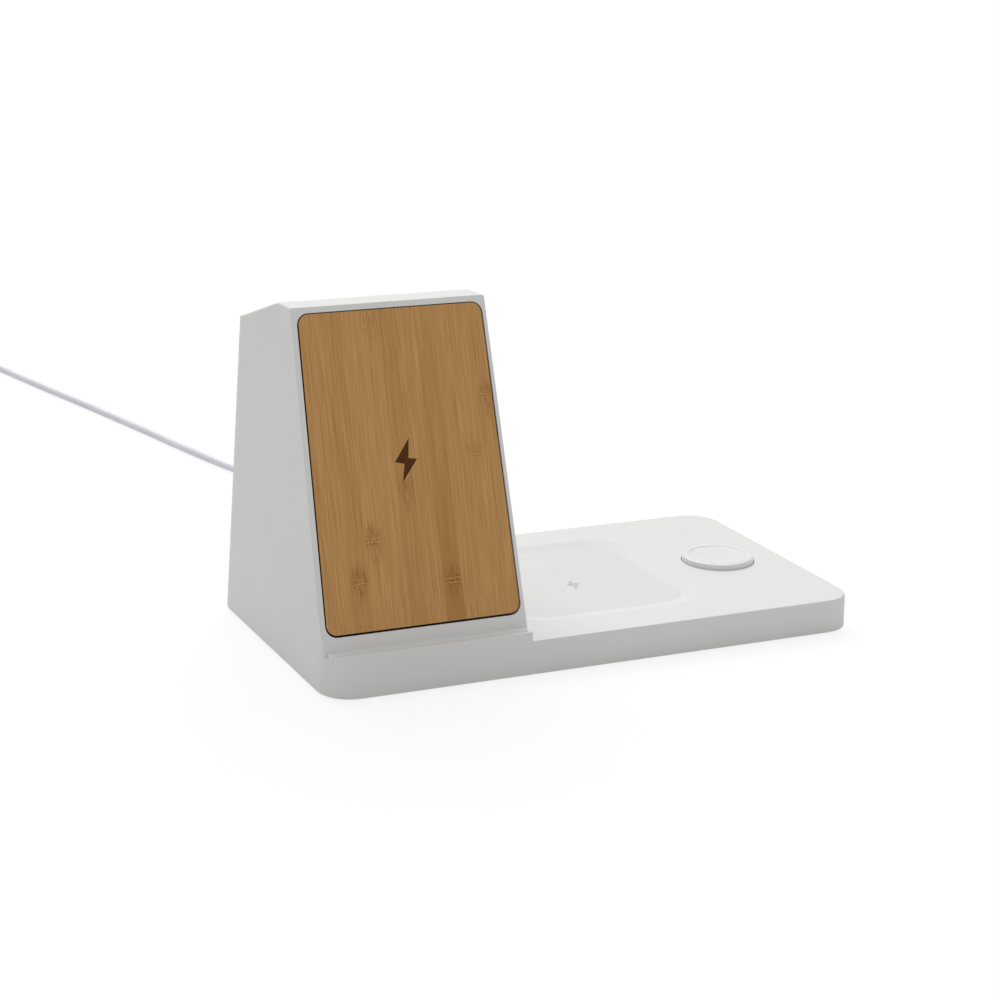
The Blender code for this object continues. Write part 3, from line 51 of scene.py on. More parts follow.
# Driving sizes, as the solids have them
LEFT, FRONT, REAR = -0.128, -0.0725, 0.0725
SKIRT_LIFT = 0.0008
TRAY_HEIGHT = 0.016
DISH_FLOOR = 0.0145
TOWER_WIDTH = 0.095
LEDGE_LENGTH = 0.0933
LEDGE_DEPTH = 0.0093
FACE_FOOT_HEIGHT = 0.0173
FACE_TOP_SETBACK = 0.055
FACE_TOP_HEIGHT = 0.156
FACE_LEAN = math.atan2(FACE_TOP_SETBACK - LEDGE_DEPTH, FACE_TOP_HEIGHT - FACE_FOOT_HEIGHT)
FACE_FOOT = Vector((LEFT + TOWER_WIDTH / 2, FRONT + LEDGE_DEPTH, FACE_FOOT_HEIGHT))
FACE_RISE = Vector((0, math.sin(FACE_LEAN), math.cos(FACE_LEAN)))
FACE_NORMAL = Vector((0, -math.cos(FACE_LEAN), math.sin(FACE_LEAN)))
FACE_TURN = math.pi / 2 - FACE_LEAN
RECESS_DEPTH = 0.0037
PUCK_MIDDLE = Vector((0.096, 0, 0))
WELL_BOX = ((-0.1185, 0.007), (-0.0425, 0.048))
WELL_FLOOR = 0.050
DISH_BOX = ((-0.0325, -0.0515), (0.067, 0.0515))
SOCKET_MOUTH = Vector((0, REAR, 0.00885))
SOCKET_BOX = ((-0.0058, 0.0705), (0.0058, 0.0726))
CAPACITOR_FOOT = 0.0068
CAPACITOR_ROW = 0.04601

# Where the edges that are rounded are looked for on the housing, and how far their faces turn
ROOF_REAR_FROM = 0.0478
ROOF_LOWEST = 0.13
TOWER_TOP_LOWEST = 0.1365
TOWER_TOP_REAR = 0.0475
TOWER_SIDE_BAND = 0.0040
WELL_RIM_LOWEST = 0.125
PUCK_ROOM = 0.02
SOCKET_MOUTH_HEIGHTS = (0.006, 0.012)
SHARP_TURN = 0.6
SLIGHT_TURN = 0.1

# Cord: its route's own points are those of the solids
CORD_RADIUS = 0.002
FIT_GAP = 0.0003
RELIEF_END = SOCKET_MOUTH + Vector((0, 0.0322, 0))
CORD_ROUTE = (
    (-0.0002, 0.1138, 0.0084),
    (-0.0012, 0.1240, 0.0066),
    (-0.0036, 0.1390, 0.0038),
    (-0.0078, 0.1560, 0.00225),
    (-0.0150, 0.1800, 0.00205),
    (-0.0250, 0.2080, 0.00205),
    (-0.0370, 0.2400, 0.00205),
    (-0.0512, 0.2815, 0.00205),
    (-0.0630, 0.3300, 0.00205),
    (-0.0729, 0.3772, 0.00205),
    (-0.0813, 0.4151, 0.00205),
    (-0.0901, 0.4542, 0.00205),
    (-0.1020, 0.5043, 0.00205),
    (-0.1140, 0.5592, 0.00205),
    (-0.1230, 0.6000, 0.00205),
    (-0.1290, 0.6270, 0.00205),
)
CORD_STEP = 0.0041
TAIL_STEP = 0.003
LEAD_OUT = 0.004
COIL_LOOPS = 2.5
COIL_RADIUS = 0.039
COIL_PITCH = 0.0047
COIL_STEPS = 72
SOLID_COIL_STEPS = 24
CLIMB_TURN_SHARE = 0.5
FAR_HEIGHT = 0.00405
TAIL_MIDDLE_SHARES = (0.75, 0.15)
TAIL_END_SHARES = (1.5, 0.4)
ROUTE_SUBSTEPS = 24
CORD_SIDE_STEPS = 5

# Plug bodies: width, height, length, rounding along and at the ends, and where they start
NEAR_BODY = (0.0120, 0.0062, 0.020, 0.0026, 0.0010, 0.0004)
FAR_BODY = (0.0157, 0.0080, 0.030, 0.0033, 0.0013, 0.010)
RELIEF_ROOT_RADIUS = 0.0028
RELIEF_TIP_RADIUS = 0.0024
RELIEF_RIB_SPACING = 0.0019
RELIEF_RIB_DEPTH = 0.00035
RELIEF_RIB_SHARES = ((0.1, 0), (0.55, 0), (0.65, 1), (0.95, 1))
RELIEF_OVERLAP = 0.002
GRIP_GROOVE_SPACING = 0.0016
GRIP_GROOVE = (0.0068, 0.0005, 0.0006)
FAR_SHELL_HOLES = (0.0024, 0.0022, 0.0506, 0.0531)
SHELL_HOLE_REACH = 0.02

# Roundings of the moulded edges
TRAY_EDGE_ROUND = 0.0009
LEDGE_EDGE_ROUND = 0.0010
TOWER_TOP_ROUND = 0.0009
ROOF_REAR_ROUND = 0.0028
WELL_RIM_ROUND = 0.0008
WELL_FLOOR_ROUND = 0.0015
SKIRT_ROUND = 0.0004
DISH_RIM_ROUND = 0.0009
LEDGE_END_ROUND = 0.0017
HOLE_ROUND = 0.0003
PANEL_RIM_ROUND = 0.0002
COVER_ROUND = 0.0003
EDGE_STEPS = 4
FINE_EDGE_STEPS = 3
HOLE_EDGE_STEPS = 2
PLUG_EDGE_STEPS = 6
LEDGE_END_STEPS = 8
LEDGE_END_CUT = 0.010
FLAT_ANGLE = math.radians(0.4)
MERGE_DISTANCE = 0.000002
STEP_MERGE_DISTANCE = 0.00006
ON_PLANE = 0.00002

# Turned pieces: (radius, height) up from each one's own foot
PUCK_PROFILE_MM = (
    (0, 17.72), (5, 17.74), (9, 17.86), (11.6, 18.06), (12.9, 18.22), (13.3, 18.26), (13.45, 18.12),
    (13.75, 18.10), (13.9, 18.28), (14.1, 18.42), (14.5, 18.49), (15.9, 18.50), (16.45, 18.40),
    (16.82, 18.12), (17.0, 17.70), (17.0, 12.1), (19.15, 12.0), (19.3, 11.85), (19.3, 11.45),
    (15.5, 11.42), (15.5, 16.2), (0, 16.2),
)
FOOT_PROFILE_MM = (
    (0, 0.35), (3.3, 0.35), (3.6, 0.28), (3.8, 0.04), (4.0, 0), (5.4, 0), (5.75, 0.12), (5.95, 0.4),
    (6.0, 0.7), (6.0, 2.0), (0, 2.0),
)
SCREW_HEAD_MM = ((0, 0), (1.3, 0.02), (1.85, 0.14), (2.2, 0.40), (2.38, 0.78), (2.4, 1.4), (1.0, 1.4))
THREAD_RADII_MM = (0.84, 1.1)
THREAD_PITCH_MM = 0.5
THREAD_HEIGHTS_MM = (0.12, 0.30)
SCREW_TIP_MM = 1.1
SCREW_POINT_RADIUS_MM = 0.5
CROSS_RECESS = (0.0027, 0.00055, 0.0008)
COVER_SCREW_LENGTH = 0.008
SHORT_SCREW_LENGTH = 0.0045
PUCK_SIDES, FOOT_SIDES, SCREW_SIDES, RELIEF_SIDES = 96, 48, 24, 32

# Charging marks: a bolt on the panel across and up from the face's foot, and one on the tray
PANEL_MARK_MM = ((2.2, 87.5), (-5.2, 77.8), (-0.9, 76.8), (-2.5, 69.2), (5.0, 78.4), (1.1, 79.1))
TRAY_MARK_MM = ((13.4, -6.2), (18.2, 0.4), (17.6, -3.8), (20.3, -4.8), (14.7, -13.0), (16.1, -7.3))
PANEL_MARK_DEPTH = 0.00012
TRAY_MARK_DEPTH = 0.00005
PANEL_RIDE_UP = 0.00022

# Bamboo: its strips across the face, and its stalk nodes as strip, height up the face in mm, and
# how strongly the ridges and the dark fibres show
STRIP_WIDTH = 0.0084
STRIPS_FROM = -0.0396
DARK_STRIP = 6
STALK_NODES = (
    (2, 46.4, 1.0, 0.75),
    (1, 29.7, 0.8, 1.0),
    (6, 25.7, 0.8, 1.0),
    (8, 79.0, 0.7, 0.2),
    (9, 102.6, 0.8, 0.7),
    (4, 66.0, 0.0, 0.55),
    (3, 139.0, 0.0, 0.4),
)

# How wide and how long the wood's marks are, and the share of the tone that each gives
FIBRE_SIZE = (0.45 * MM, 30 * MM)
STREAK_SIZE = (1.8 * MM, 45 * MM)
FLECK_SIZE = (0.42 * MM, 5 * MM)
TONE_FROM, STRIP_SHARE, STREAK_SHARE, FIBRE_SHARE = 0.045, 0.07, 0.22, 0.62

# The dark strip darkens down the face, from one height and share to the other
DARK_STRIP_FADE = {"From Min": 150 * MM, "From Max": 10 * MM, "To Min": 0.12, "To Max": 0.62}

# Stalk nodes: where a mark ends and where it is whole, away from the node or its strip's middle.
# Each fan's first number says how much it narrows towards its strip's edges.
STALK_SIDES = {"From Min": 4.2 * MM, "From Max": 3.5 * MM}
STALK_RAISE_MM = 0.8
STALK_WOBBLE = 1.6 * MM
STALK_WOBBLE_SIZE = 2.2 * MM
RIDGE_BOW = -0.10
RIDGE_FROM_MIDDLE = 0.75 * MM
RIDGE_LINE = {"From Min": 0.45 * MM, "From Max": 0.1 * MM}
RIDGE_OUTLINE = {"From Min": 1.0 * MM, "From Max": 0.5 * MM}
FAN_BELOW = (-2.0, {"From Min": -17 * MM, "From Max": -2 * MM})
FAN_ABOVE = (1.2, {"From Min": 11 * MM, "From Max": 2 * MM})
FLECK_SHARPNESS = {"From Min": 0.42, "From Max": 0.56}

# Sizes of the other finishes' patterns
CLOUD_SIZE = 35 * MM
SPECK_SPACING = 10 * MM
SPECK_RADIUS = 0.42 * MM
SPECK_RARENESS = 0.80
WIRE_PITCH = 0.9 * MM
STRAND_TWISTS = 90
TRACK_SIZE = 3 * MM
PAD_SPACING = 2.6 * MM
CAPACITOR_HALF_BODY = 1.7 * MM
FOAM_CELL = 0.5 * MM

# The photograph's viewpoint, with its angles in degrees, and the light
CAMERA_PLACE = (-0.46191, -0.95333, 0.36438)
CAMERA_HEADING, CAMERA_PITCH, CAMERA_ROLL = -24.9454, -16.2844, 1.1616
CAMERA_LENS_MM = 87.455
SKY_STRENGTH = 0.54
PAPER_SHADE, SHADOWED_SHADE, PAPER_GLOW = 0.82, 0.20, 0.82
FLOOR_SIZE = 14
FLOOR_MIDDLE = (0, 3, 0)
KEY_ANGLE_DEGREES = 50
KEY_ENERGY = 1.57
KEY_TOWARDS = Vector((0.14, 0.76, 1.0)).normalized()
KEY_DISTANCE = 1.7


def linear(channel):
    if channel <= 0.04045:
        return channel / 12.92
    return ((channel + 0.055) / 1.055) ** 2.4


def colour(hex_colour):
    """Linear colour of an sRGB hex value."""
    channels = [int(hex_colour[i:i + 2], 16) / 255 for i in (0, 2, 4)]
    return (*[linear(c) for c in channels], 1.0)


def add(tree, kind, inputs=(), out=0, stops=(), **settings):
    """Adds a node with its settings, its inputs' values or links and a ramp's stops; gives an output."""
    made = tree.nodes.new("ShaderNode" + kind)
    for name, value in settings.items():
        setattr(made, name, value)
    for key, value in inputs.items() if isinstance(inputs, dict) else enumerate(inputs):
        if isinstance(value, bpy.types.NodeSocket):
            tree.links.new(value, made.inputs[key])
        else:
            made.inputs[key].default_value = value
    for _ in stops[2:]:
        made.color_ramp.elements.new(0.5)
    for number, (place, hex_colour) in enumerate(stops):
        made.color_ramp.elements[number].position = place
        made.color_ramp.elements[number].color = colour(hex_colour)
    return made if out is None else made.outputs[out]


def new_material(name, roughness, metallic=0.0):
    """A material, its nodes, its Principled shader's inputs and the piece's own coordinates."""
    made = bpy.data.materials.new(name)
    made.use_nodes = True
    tree = made.node_tree
    shader = tree.nodes["Principled BSDF"].inputs
    shader["Roughness"].default_value = roughness
    shader["Metallic"].default_value = metallic
    return made, tree, shader, add(tree, "TexCoord", out="Object")


def moulded_plastic(name, hex_low, hex_high, roughness, grain=0.45 * MM, relief=0.05 * MM, specks=False):
    """Injection-moulded plastic from a spark-eroded tool: one colour with the faint clouds of its
    resin, a satin sheen that the tool's fine grain breaks up and, in the housing, rare dark specks.
    The real grain is near 0.1 mm and is drawn coarser, so that it shows."""
    made, tree, shader, place = new_material(name, roughness)
    clouds = add(tree, "TexNoise", {"Vector": place, "Scale": 1 / CLOUD_SIZE, "Detail": 3.0})
    tint = add(tree, "ValToRGB", (clouds,), stops=((0.35, hex_low), (0.65, hex_high)))
    if specks:
        cells = add(tree, "TexVoronoi", {"Vector": place, "Scale": 1 / SPECK_SPACING}, None)
        chosen = add(tree, "SeparateColor", (cells.outputs["Color"],), None)
        rare = add(tree, "Math", (chosen.outputs[0], SPECK_RARENESS), operation="GREATER_THAN")
        size = add(tree, "Math", (chosen.outputs[1], SPECK_RADIUS / SPECK_SPACING), operation="MULTIPLY")
        inside = add(tree, "Math", (size, cells.outputs["Distance"]), operation="GREATER_THAN")
        speck = add(tree, "Math", (rare, inside), operation="MULTIPLY")
        tint = add(tree, "Mix", {0: speck, 6: tint, 7: colour("A9A59C")}, 2, data_type="RGBA")
    tree.links.new(tint, shader["Base Color"])
    pits = add(tree, "TexNoise", {"Vector": place, "Scale": 1 / grain, "Detail": 2.0})
    sheen = add(tree, "MapRange", {"Value": pits, "To Min": roughness - 0.05, "To Max": roughness + 0.05})
    tree.links.new(sheen, shader["Roughness"])
    bump = add(tree, "Bump", {"Height": pits, "Strength": 0.25, "Distance": relief})
    tree.links.new(bump, shader["Normal"])
    return made


def bamboo(name, burnt=False):
    """Carbonised bamboo, strips pressed side by side, sanded and oiled matt: each strip has its own
    tone, fine fibres run up it, and where the stalk had a node two pale ridges cross the strip
    between fans of dark fibres. The real fibres are near 0.2 mm and are drawn at twice that, so
    that they show. The cut edge and the charging mark are the same wood, burnt by the laser."""
    made, tree, shader, place = new_material(name, 0.52)
    turned = {"Vector": place, "Location": FACE_FOOT, "Rotation": (FACE_TURN, 0, 0)}
    on_face = add(tree, "Mapping", turned, vector_type="TEXTURE")
    face = add(tree, "SeparateXYZ", (on_face,), None)
    across, up = face.outputs[0], face.outputs[1]

    from_first = add(tree, "Math", (across, STRIPS_FROM), operation="SUBTRACT")
    strips = add(tree, "Math", (from_first, STRIP_WIDTH), operation="DIVIDE")
    number = add(tree, "Math", (strips,), operation="FLOOR")
    own = add(tree, "TexWhiteNoise", {"W": number}, "Value", noise_dimensions="1D")
    shifted = add(tree, "Math", (own, 0.9, up), operation="MULTIPLY_ADD")

    def grain_noise(size, layer, detail):
        """Noise drawn out along the fibres, other in each strip."""
        x = add(tree, "Math", (across, size[0]), operation="DIVIDE")
        y = add(tree, "Math", (shifted, size[1]), operation="DIVIDE")
        where = add(tree, "CombineXYZ", (x, y, layer))
        return add(tree, "TexNoise", {"Vector": where, "Scale": 1.0, "Detail": detail, "Roughness": 0.6})

    fibres = grain_noise(FIBRE_SIZE, 0.0, 3.0)
    streaks = grain_noise(STREAK_SIZE, 3.0, 2.0)
    flecks = grain_noise(FLECK_SIZE, 6.0, 2.0)
    tone = add(tree, "Math", (own, STRIP_SHARE, TONE_FROM), operation="MULTIPLY_ADD")
    tone = add(tree, "Math", (streaks, STREAK_SHARE, tone), operation="MULTIPLY_ADD")
    tone = add(tree, "Math", (fibres, FIBRE_SHARE, tone), operation="MULTIPLY_ADD")
    wood = add(tree, "ValToRGB", (tone,), stops=(
        (0.33, "A5723A"), (0.46, "BB894A"), (0.56, "C69556"), (0.70, "D6A96C")))

    darkening = add(tree, "MapRange", {"Value": up, **DARK_STRIP_FADE})
    is_dark = add(tree, "Math", (number, DARK_STRIP, 0.5), operation="COMPARE")
    darkening = add(tree, "Math", (darkening, is_dark), operation="MULTIPLY")
    wood = add(tree, "Mix", {0: darkening, 6: wood, 7: colour("A36B24")}, 2, data_type="RGBA")

    wobble = add(tree, "TexNoise", {"Vector": place, "Scale": 1 / STALK_WOBBLE_SIZE, "Detail": 1.0})
    ridges, outlines, fans = 0.0, 0.0, 0.0
    for strip, height, ridge_share, fan_share in STALK_NODES:
        middle = STRIPS_FROM + (strip + 0.5) * STRIP_WIDTH
        aside = add(tree, "Math", (across, middle), operation="SUBTRACT")
        aside = add(tree, "Math", (aside,), operation="ABSOLUTE")
        inside = add(tree, "MapRange", {"Value": aside, **STALK_SIDES})
        above = add(tree, "Math", (up, (height + STALK_RAISE_MM) * MM), operation="SUBTRACT")
        bent = add(tree, "Math", (wobble, STALK_WOBBLE, above), operation="MULTIPLY_ADD")
        away = add(tree, "Math", (bent,), operation="ABSOLUTE")
        opened = add(tree, "Math", (aside, RIDGE_BOW, away), operation="MULTIPLY_ADD")
        off = add(tree, "Math", (opened, RIDGE_FROM_MIDDLE), operation="SUBTRACT")
        off = add(tree, "Math", (off,), operation="ABSOLUTE")
        line = add(tree, "MapRange", {"Value": off, **RIDGE_LINE})
        rim = add(tree, "MapRange", {"Value": off, **RIDGE_OUTLINE})
        shown = add(tree, "Math", (inside, ridge_share), operation="MULTIPLY")
        ridges = add(tree, "Math", (line, shown, ridges), operation="MULTIPLY_ADD")
        outlines = add(tree, "Math", (rim, shown, outlines), operation="MULTIPLY_ADD")
        reach = inside
        for narrowing, ends in (FAN_BELOW, FAN_ABOVE):
            narrowed = add(tree, "Math", (aside, narrowing, above), operation="MULTIPLY_ADD")
            side = add(tree, "MapRange", {"Value": narrowed, **ends}, interpolation_type="SMOOTHSTEP")
            reach = add(tree, "Math", (reach, side), operation="MULTIPLY")
        fans = add(tree, "Math", (reach, fan_share, fans), operation="MULTIPLY_ADD")
    brush = add(tree, "MapRange", {"Value": flecks, **FLECK_SHARPNESS})
    dark = add(tree, "Math", (fans, brush), operation="MULTIPLY")
    dark = add(tree, "Math", (outlines, 0.35, dark), operation="MULTIPLY_ADD")
    dark = add(tree, "Math", (dark, 0.9), operation="MULTIPLY", use_clamp=True)
    wood = add(tree, "Mix", {0: dark, 6: wood, 7: colour("8E560F")}, 2, data_type="RGBA")
    pale = add(tree, "Math", (ridges, 0.5), operation="MULTIPLY", use_clamp=True)
    wood = add(tree, "Mix", {0: pale, 6: wood, 7: colour("DEB26C")}, 2, data_type="RGBA")
    if burnt:
        wood = add(tree, "ValToRGB", (fibres,), stops=((0.34, "3B1B05"), (0.68, "693F10")))
        shader["Specular IOR Level"].default_value = 0.12
    tree.links.new(wood, shader["Base Color"])
    height = add(tree, "Math", (ridges, 1.2, fibres), operation="MULTIPLY_ADD")
    bump = add(tree, "Bump", {"Height": height, "Strength": 0.35, "Distance": 0.06 * MM})
    tree.links.new(bump, shader["Normal"])
    sheen = add(tree, "MapRange", {"Value": fibres, "To Min": 0.62, "To Max": 0.46})
    tree.links.new(sheen, shader["Roughness"])
    return made


def drawn_metal(name, hex_low, hex_high, roughness, line=0.3 * MM):
    """Sheet or wire drawn through a die: fine lines along it that spread its highlight. The real
    lines are near 0.05 mm and are drawn coarser, so that they show."""
    made, tree, shader, place = new_material(name, roughness, 1.0)
    stretch = {"Vector": place, "Scale": (1 / line, 0.12 / line, 1 / line)}
    where = add(tree, "Mapping", stretch)
    lines = add(tree, "TexNoise", {"Vector": where, "Scale": 1.0, "Detail": 3.0})
    tint = add(tree, "ValToRGB", (lines,), stops=((0.3, hex_low), (0.7, hex_high)))
    tree.links.new(tint, shader["Base Color"])
    sheen = add(tree, "MapRange", {"Value": lines, "To Min": roughness - 0.1, "To Max": roughness + 0.1})
    tree.links.new(sheen, shader["Roughness"])
    bump = add(tree, "Bump", {"Height": lines, "Strength": 0.2, "Distance": 0.02 * MM})
    tree.links.new(bump, shader["Normal"])
    return made


def wound_copper(name, node, turn=0.0):
    """Enamelled copper litz, wound flat from the eye outwards: amber lacquer over copper, one ring
    beside the next, with the strands' twist across them. The 0.5 mm wire is drawn as 0.9 mm. Its colour
    follows the drawn height: painted shade in the grooves between the rings, painted highlight on their
    crests."""
    made, tree, shader, place = new_material(name, 0.34, 1.0)
    low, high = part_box(node)
    middle = [(a + b) / 2 for a, b in zip(low, high)]
    centred = {"Vector": place, "Location": middle, "Rotation": (turn, 0, 0)}
    flat = add(tree, "Mapping", centred, vector_type="TEXTURE")
    parts = add(tree, "SeparateXYZ", (flat,), None)
    out_from_eye = add(tree, "VectorMath", (flat,), "Value", operation="LENGTH")
    phase = add(tree, "Math", (out_from_eye, math.tau / WIRE_PITCH), operation="MULTIPLY")
    wave = add(tree, "Math", (phase,), operation="SINE")
    around = add(tree, "Math", (parts.outputs[1], parts.outputs[0]), operation="ARCTAN2")
    twist = add(tree, "Math", (around, STRAND_TWISTS, phase), operation="MULTIPLY_ADD")
    twist = add(tree, "Math", (twist,), operation="SINE")
    height = add(tree, "Math", (twist, 0.2, wave), operation="MULTIPLY_ADD")
    share = add(tree, "MapRange", {"Value": height, "From Min": -1.2, "From Max": 1.2})
    # Painted shade in the grooves between the rings and a painted highlight along their crests, from the
    # drawn height.
    tint = add(tree, "ValToRGB", (share,), stops=((0.05, "5A2C12"), (0.45, "A9622F"), (0.9, "C98148")))
    tree.links.new(tint, shader["Base Color"])
    bump = add(tree, "Bump", {"Height": share, "Strength": 0.7, "Distance": 0.2 * MM})
    tree.links.new(bump, shader["Normal"])
    return made


def sintered(name, hex_low, hex_high, cell):
    """A pressed and fired ferrite or powder core: matt grey-black grit with hairline cracks."""
    made, tree, shader, place = new_material(name, 0.68)
    where = {"Vector": place, "Scale": 1 / cell}
    cracks = add(tree, "TexVoronoi", where, "Distance", feature="DISTANCE_TO_EDGE")
    grit = add(tree, "TexNoise", {"Vector": place, "Scale": 1 / (0.4 * MM), "Detail": 3.0})
    tint = add(tree, "ValToRGB", (grit,), stops=((0.3, hex_low), (0.7, hex_high)))
    solid = add(tree, "MapRange", {"Value": cracks, "From Max": 0.03})
    tint = add(tree, "Mix", {0: solid, 6: colour("0E0D0D"), 7: tint}, 2, data_type="RGBA")
    tree.links.new(tint, shader["Base Color"])
    height = add(tree, "Math", (grit, 0.3, solid), operation="MULTIPLY_ADD")
    bump = add(tree, "Bump", {"Height": height, "Strength": 0.4, "Distance": 0.05 * MM})
    tree.links.new(bump, shader["Normal"])
    return made


def masked_board(name, parts_above):
    """Glass-epoxy board under green solder mask: copper tracks show paler through the gloss, with
    tinned pads between them. What stands above a height is a soldered ceramic capacitor, tan with
    tinned ends."""
    made, tree, shader, place = new_material(name, 0.3)
    tracks = {"Vector": place, "Color1": colour("1B5A38"), "Color2": colour("174F31"),
              "Mortar": colour("3C8A55"), "Scale": 1 / TRACK_SIZE, "Mortar Size": 0.05, "Brick Width": 1.3,
              "Row Height": 0.55}
    tint = add(tree, "TexBrick", tracks, "Color")
    pads = add(tree, "TexVoronoi", {"Vector": place, "Scale": 1 / PAD_SPACING}, "Distance")
    pad = add(tree, "Math", (pads, 0.16), operation="LESS_THAN")
    tint = add(tree, "Mix", {0: pad, 6: tint, 7: colour("C9C7BD")}, 2, data_type="RGBA")
    parts = add(tree, "SeparateXYZ", (place,), None)
    raised = add(tree, "Math", (parts.outputs[2], parts_above), operation="GREATER_THAN")
    beside = add(tree, "Math", (parts.outputs[1], CAPACITOR_ROW), operation="SUBTRACT")
    beside = add(tree, "Math", (beside,), operation="ABSOLUTE")
    tinned = add(tree, "Math", (beside, CAPACITOR_HALF_BODY), operation="GREATER_THAN")
    body = add(tree, "Mix", {0: tinned, 6: colour("A98458"), 7: colour("C4C5C6")}, 2, data_type="RGBA")
    tint = add(tree, "Mix", {0: raised, 6: tint, 7: body}, 2, data_type="RGBA")
    tree.links.new(tint, shader["Base Color"])
    weave = add(tree, "TexNoise", {"Vector": place, "Scale": 1 / (0.6 * MM), "Detail": 2.0})
    sheen = add(tree, "MapRange", {"Value": weave, "To Min": 0.22, "To Max": 0.42})
    tree.links.new(sheen, shader["Roughness"])
    bump = add(tree, "Bump", {"Height": pad, "Strength": 0.3, "Distance": 0.04 * MM})
    tree.links.new(bump, shader["Normal"])
    return made


def foam_tape(name):
    """Black acrylic foam tape: matt, with the open cells of the foam at its cut edge."""
    made, tree, shader, place = new_material(name, 0.9)
    cells = add(tree, "TexVoronoi", {"Vector": place, "Scale": 1 / FOAM_CELL}, "Distance")
    tint = add(tree, "ValToRGB", (cells,), stops=((0.1, "0D0C0C"), (0.7, "242221")))
    tree.links.new(tint, shader["Base Color"])
    bump = add(tree, "Bump", {"Height": cells, "Strength": 0.5, "Distance": 0.08 * MM})
    tree.links.new(bump, shader["Normal"])
    return made


def rest():
    """Object mode, with nothing selected."""
    if bpy.context.mode != "OBJECT":
        bpy.ops.object.mode_set(mode="OBJECT")
    bpy.ops.object.select_all(action="DESELECT")


def take(piece, *others):
    """Makes a piece the active one, selected with any others."""
    rest()
    for each in (piece, *others):
        each.select_set(True)
    bpy.context.view_layer.objects.active = piece


def edit(piece):
    """Edge mode on one piece, with nothing selected."""
    take(piece)
    bpy.ops.object.mode_set(mode="EDIT")
    bpy.ops.mesh.select_mode(type="EDGE")
    bpy.ops.mesh.select_all(action="DESELECT")


def choose(piece, kind, test):
    """In edit mode, selects the verts, edges or faces that a test picks."""
    shape = bmesh.from_edit_mesh(piece.data)
    picked = [each for each in getattr(shape, kind) if test(each)]
    for each in picked:
        each.select_set(True)
    bmesh.update_edit_mesh(piece.data)
    return len(picked)


def linked(name, data):
    """A new object of the scene."""
    made = bpy.data.objects.new(name, data)
    bpy.context.scene.collection.objects.link(made)
    return made


def copy_of(node, name):
    """A merged copy of a solid's mesh as a new piece, with its flat triangles joined."""
    piece = linked(name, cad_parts[node].data.copy())
    take(piece)
    bpy.ops.mesh.customdata_custom_splitnormals_clear()
    bpy.ops.object.mode_set(mode="EDIT")
    bpy.ops.mesh.select_all(action="SELECT")
    bpy.ops.mesh.remove_doubles(threshold=MERGE_DISTANCE)
    bpy.ops.mesh.dissolve_limited(angle_limit=FLAT_ANGLE)
    rest()
    return piece


def round_edges(piece, width, test, steps=EDGE_STEPS):
    """Bevels the edges that a test picks."""
    edit(piece)
    if choose(piece, "edges", test):
        bpy.ops.mesh.bevel(offset=width, segments=steps, profile=0.5, affect="EDGES", clamp_overlap=False)
    rest()


def smooth(piece, degrees=40):
    """Smooth shading that keeps broad flat faces flat."""
    take(piece)
    bpy.ops.object.shade_smooth_by_angle(angle=math.radians(degrees))
    made = piece.modifiers.new("weighted", "WEIGHTED_NORMAL")
    made.keep_sharp = True
    bpy.ops.object.modifier_apply(modifier=made.name)


def turn_of(edge):
    return edge.calc_face_angle_signed(0) if len(edge.link_faces) == 2 else 0


def convex(edge):
    return turn_of(edge) > SHARP_TURN


def both(edge, test):
    return all(test(vert.co) for vert in edge.verts)


def within(co, box):
    (x0, y0), (x1, y1) = box
    return x0 < co.x < x1 and y0 < co.y < y1


def at_height(co, height):
    return abs(co.z - height) < ON_PLANE


def finish_with(piece, *materials):
    """Replaces a piece's materials."""
    piece.data.materials.clear()
    for each in materials:
        piece.data.materials.append(each)


def stand_for(piece, slot, *nodes):
    """Rides a finished piece on the stand, in place of solids. Its slot, a finish of the record, is not used.
    """
    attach(piece, "root")
    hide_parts(*nodes)


def settle(piece, matrix):
    """Puts a piece in its place, and the place in its mesh."""
    piece.matrix_world = matrix
    take(piece)
    bpy.ops.object.transform_apply(location=True, rotation=True, scale=True)


def from_points(name, points, faces):
    """A closed piece from its points and faces, with its faces turned outwards."""
    mesh = bpy.data.meshes.new(name)
    mesh.from_pydata(points, [], faces)
    piece = linked(name, mesh)
    edit(piece)
    bpy.ops.mesh.select_all(action="SELECT")
    bpy.ops.mesh.normals_make_consistent(inside=False)
    rest()
    return piece


def plate(name, low_points, high_points):
    """A closed plate between an outline's low and high points."""
    count = len(low_points)
    faces = [list(range(count)), list(range(count, 2 * count))]
    faces += [[i, (i + 1) % count, (i + 1) % count + count, i + count] for i in range(count)]
    return from_points(name, [*low_points, *high_points], faces)


def block(name, size, middle):
    """A box of a size about a middle."""
    rest()
    bpy.ops.mesh.primitive_cube_add(size=1)
    piece = bpy.context.object
    piece.name = name
    settle(piece, Matrix.Translation(middle) @ Matrix.Diagonal((*size, 1)))
    return piece


def lathe(name, profile_mm, steps):
    """A closed piece spun about the upright line from (radius, height) points in mm."""
    mesh = bpy.data.meshes.new(name)
    points = [(r * MM, 0, z * MM) for r, z in profile_mm]
    mesh.from_pydata(points, [(i, i + 1) for i in range(len(points) - 1)], [])
    piece = linked(name, mesh)
    edit(piece)
    bpy.ops.mesh.select_all(action="SELECT")
    bpy.ops.mesh.spin(steps=steps, angle=math.tau, center=(0, 0, 0), axis=(0, 0, 1))
    bpy.ops.mesh.select_all(action="SELECT")
    bpy.ops.mesh.remove_doubles(threshold=MERGE_DISTANCE)
    bpy.ops.mesh.normals_make_consistent(inside=False)
    rest()
    return piece


